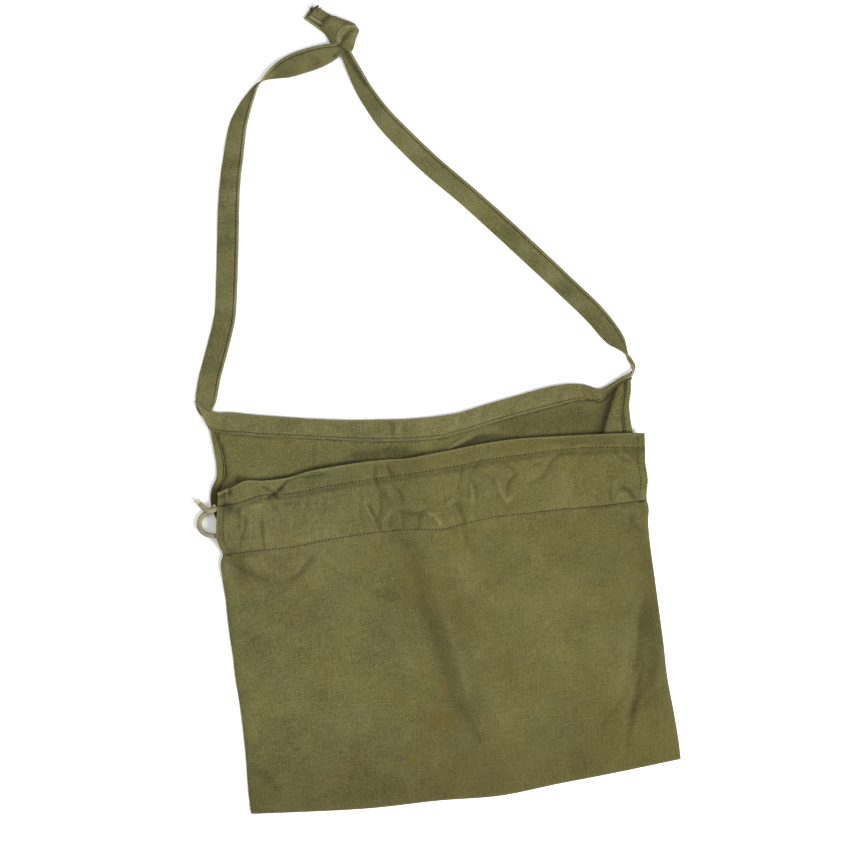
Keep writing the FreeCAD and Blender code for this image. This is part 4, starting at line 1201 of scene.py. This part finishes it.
RIGHT_TIE = [
    (218.0, 403.4, 3.2, 1.6, 1.1, 0), (226.4, 405.0, 4.0, 2.2, 1.4, 30), (231.0, 409.5, 3.6, 2.1, 1.5, 90),
    (231.2, 415.0, 3.0, 2.1, 1.5, 150), (228.6, 421.6, 2.6, 2.4, 1.4, 220),
    (225.8, 429.0, 2.4, 3.2, 1.3, 290), (221.0, 439.0, 2.4, 7.2, 1.1, 340),
    (213.0, 450.0, 2.1, 10.2, 1.0, 358), (197.3, 474.7, 1.6, 11.0, 1.0, 360),
    (169.8, 509.0, 1.8, 11.0, 1.0, 358), (141.2, 543.8, 1.6, 11.2, 1.0, 360),
    (111.5, 579.5, 1.9, 11.2, 1.0, 363), (80.7, 615.3, 1.6, 11.0, 1.0, 360),
    (47.9, 651.4, 1.6, 11.2, 1.0, 359), (19.7, 686.8, 1.8, 11.0, 1.0, 360),
    (7.2, 704.3, 2.0, 10.4, 1.1, 360), (-2.7, 721.6, 2.3, 9.4, 1.1, 362),
    (-11.0, 738.6, 2.7, 8.6, 1.2, 364), (-17.4, 756.2, 3.4, 7.6, 1.3, 364),
    (-22.6, 771.9, 4.4, 6.2, 1.4, 362), (-25.6, 783.0, 5.0, 4.8, 1.3, 360),
]
ROW_START = 450  # the ties' rows start this far up the bag


def make_ties():
    """Both ties from the corners of the bag to the knot, with their rows of stitches."""
    for end, points, seed, old, old_rows in (
            ("left", LEFT_TIE, 51, ("left", "twist", "bridge"), ("left", "bridge")),
            ("right", RIGHT_TIE, 57, ("corner_right", "roll_right", "right"), ("right",))):
        tie, seam = ribbon(f"tie_{end}", points, seed)
        attach(tie, TIE_TURN, *(f"strap_{part}" for part in old))
        flat = np.nonzero(seam[:, 1] > ROW_START)[0]
        sew(f"tie_{end}_row", seam[flat[0]:flat[-1] - 4], "ties",
            *(f"strap_stitch_{part}" for part in old_rows), thick=0.85, pitch=3.3, length=2.0)


make_ties()


# ---------------------------------------------------------------- the knot
TAIL_CORNER = np.array([-49.6, 828.0, 5.7])
TAIL_THREADS = 17
TAIL_YARNS = 9
# The two tails' points, as a tie's.
TAILS = {
    "lower": [(-33, 801, 3.4, 7.0, 1.0, 180), (-45.7, 813.0, 2.8, 7.2, 1.0, 180),
              (-52.4, 819.6, 2.4, 7.3, 0.95, 180), (-59.4, 826.0, 2.2, 7.2, 0.9, 180)],
    "upper": [(-28, 804.6, 7.2, 6.9, 1.1, 180), (-40.2, 815.0, 6.2, 6.9, 1.1, 180),
              (-46.9, 820.6, 5.2, 7.1, 1.0, 180), (-53.8, 826.4, 4.7, 7.1, 0.95, 180)],
}
# Each turn's two side lines, and its height above the table at shares of the way across.
UNDER_LOW = [(-35.4, 794.7), (-30.3, 801.5), (-21.2, 805.6), (-12.4, 805.8)]
UNDER_HIGH = [(-27.8, 783.6), (-19.4, 780.6), (-13.2, 793.3), (-9.0, 801.3)]
UNDER_HEIGHTS = [(0, 6.6), (0.3, 8.0), (0.6, 7.4), (0.85, 5.2), (1, 2.4)]
OUTER_LOW = [(-37.6, 789.6), (-40.9, 798.6), (-43.5, 804.1), (-46.2, 809.6), (-43.4, 813.9), (-34.9, 818.3),
             (-23.1, 812.8), (-11.9, 807.2)]
OUTER_HIGH = [(-29.6, 790.0), (-28.2, 791.6), (-26.4, 793.6), (-24.2, 796.0), (-21.6, 798.2), (-18.8, 800.2),
              (-15.4, 802.0), (-11.0, 803.4)]
OUTER_HEIGHTS = [(0, 3.6), (0.08, 6.6), (0.3, 9.2), (0.55, 10.2), (0.66, 10.2), (0.70, 9.7), (0.74, 10.8),
                 (0.78, 10.6), (0.81, 9.6), (0.85, 10.6), (0.91, 10.7), (0.96, 10.2), (1, 8.8)]
# Worn (above 0) and painted shade (below 0) lines along the turns: (share of the way across, half width,
# strength).
UNDER_MARKS = [(0.44, 0.12, -0.8), (0.98, 0.03, 0.5)]
OUTER_MARKS = [(0.70, 0.028, -0.9), (0.755, 0.03, 0.8), (0.815, 0.026, -1.5), (0.88, 0.036, 0.7),
               (1.0, 0.034, -1.3)]
TURN_SHARES = [0, 0.02, 0.05, 0.09, 0.14, *np.linspace(0.2, 0.62, 9), *np.linspace(0.65, 1, 36)]


def make_turn(name, low, high, heights, marks, seed, thick, old):
    """A curved band of folded cloth lofted from one side line to the other."""
    at = np.linspace(0, 1, 40)
    low, high = (smooth_line(line, np.linspace(0, 1, len(line)), at)[None] for line in (low, high))
    q = np.array(TURN_SHARES)[:, None]
    x, y = (low[:, :, k] * (1 - q) + high[:, :, k] * q for k in range(2))
    rim = np.minimum(at, 1 - at)
    uneven = waves(x, y, seed, 8)
    z = curve(heights, q) * (1 - 0.3 * np.exp(-rim / 0.05)) + uneven * 0.3
    worn = 0.6 * bell(rim, 0.03) + 0.35 * np.clip(waves(x, y, seed + 1, 9), 0, 1)
    # Painted shade: low down by the table, in the troughs of the unevenness, where the turns meet and along
    # the marks' shade lines.
    dirt_and_shade = 0.3 * (1 - ease(z, 2, 6)) - 0.3 * np.clip(uneven, -1, 0) + creased(x, y, KNOT_SHADE) * 0.8
    for spot, width, lightness in marks:
        worn += bell(q - spot, width) * max(lightness, 0)
        dirt_and_shade += bell(q - spot, width) * max(-lightness, 0)
    finish = np.clip(np.stack([worn, dirt_and_shade, 0 * z], axis=2), 0, 1)
    turn = shell(name, np.stack([x, y, z], axis=2), finish, thick)
    attach(dress(turn, TIE_CLOTH), "ties", old)


def make_tail_frays():
    """Broken threads and loose yarn at the tails' cut corner."""
    t = np.linspace(0, 1, 5)[:, None]
    yarns = []
    for _ in range(TAIL_THREADS + TAIL_YARNS):
        start = TAIL_CORNER + [random.gauss(0, 2.7), random.gauss(0, 1.4), random.uniform(-0.6, 0.6)]
        ahead = np.array([random.gauss(-0.3, 0.8), random.uniform(0.4, 1.0), random.gauss(0, 0.15)])
        yarns.append(start + ahead * random.uniform(1.2, 3.4) * t + np.array([[0.4, 0.2, -0.7]]) * t ** 2)
    for kind, part, material in (("threads", yarns[:TAIL_THREADS], THREAD),
                                 ("yarns", yarns[TAIL_THREADS:], YARN)):
        attach(bundle(f"knot_tail_{kind}", part, 0.6, material, 5), "ties")


def make_knot():
    """The broad outer turn with its doubled edge, the turn below it, and the two cut tails."""
    for layer, points in TAILS.items():
        tail, _ = ribbon(f"knot_tail_{layer}", points, 61, step=0.8, ripple=0.35)
        attach(tail, "ties", f"strap_tail_{layer}")
    make_tail_frays()
    make_turn("knot_under_turn", UNDER_LOW, UNDER_HIGH, UNDER_HEIGHTS, UNDER_MARKS, 63, 1.6,
              "strap_knot_under")
    make_turn("knot_outer_turn", OUTER_LOW, OUTER_HIGH, OUTER_HEIGHTS, OUTER_MARKS, 62, 1.5,
              "strap_knot")


make_knot()
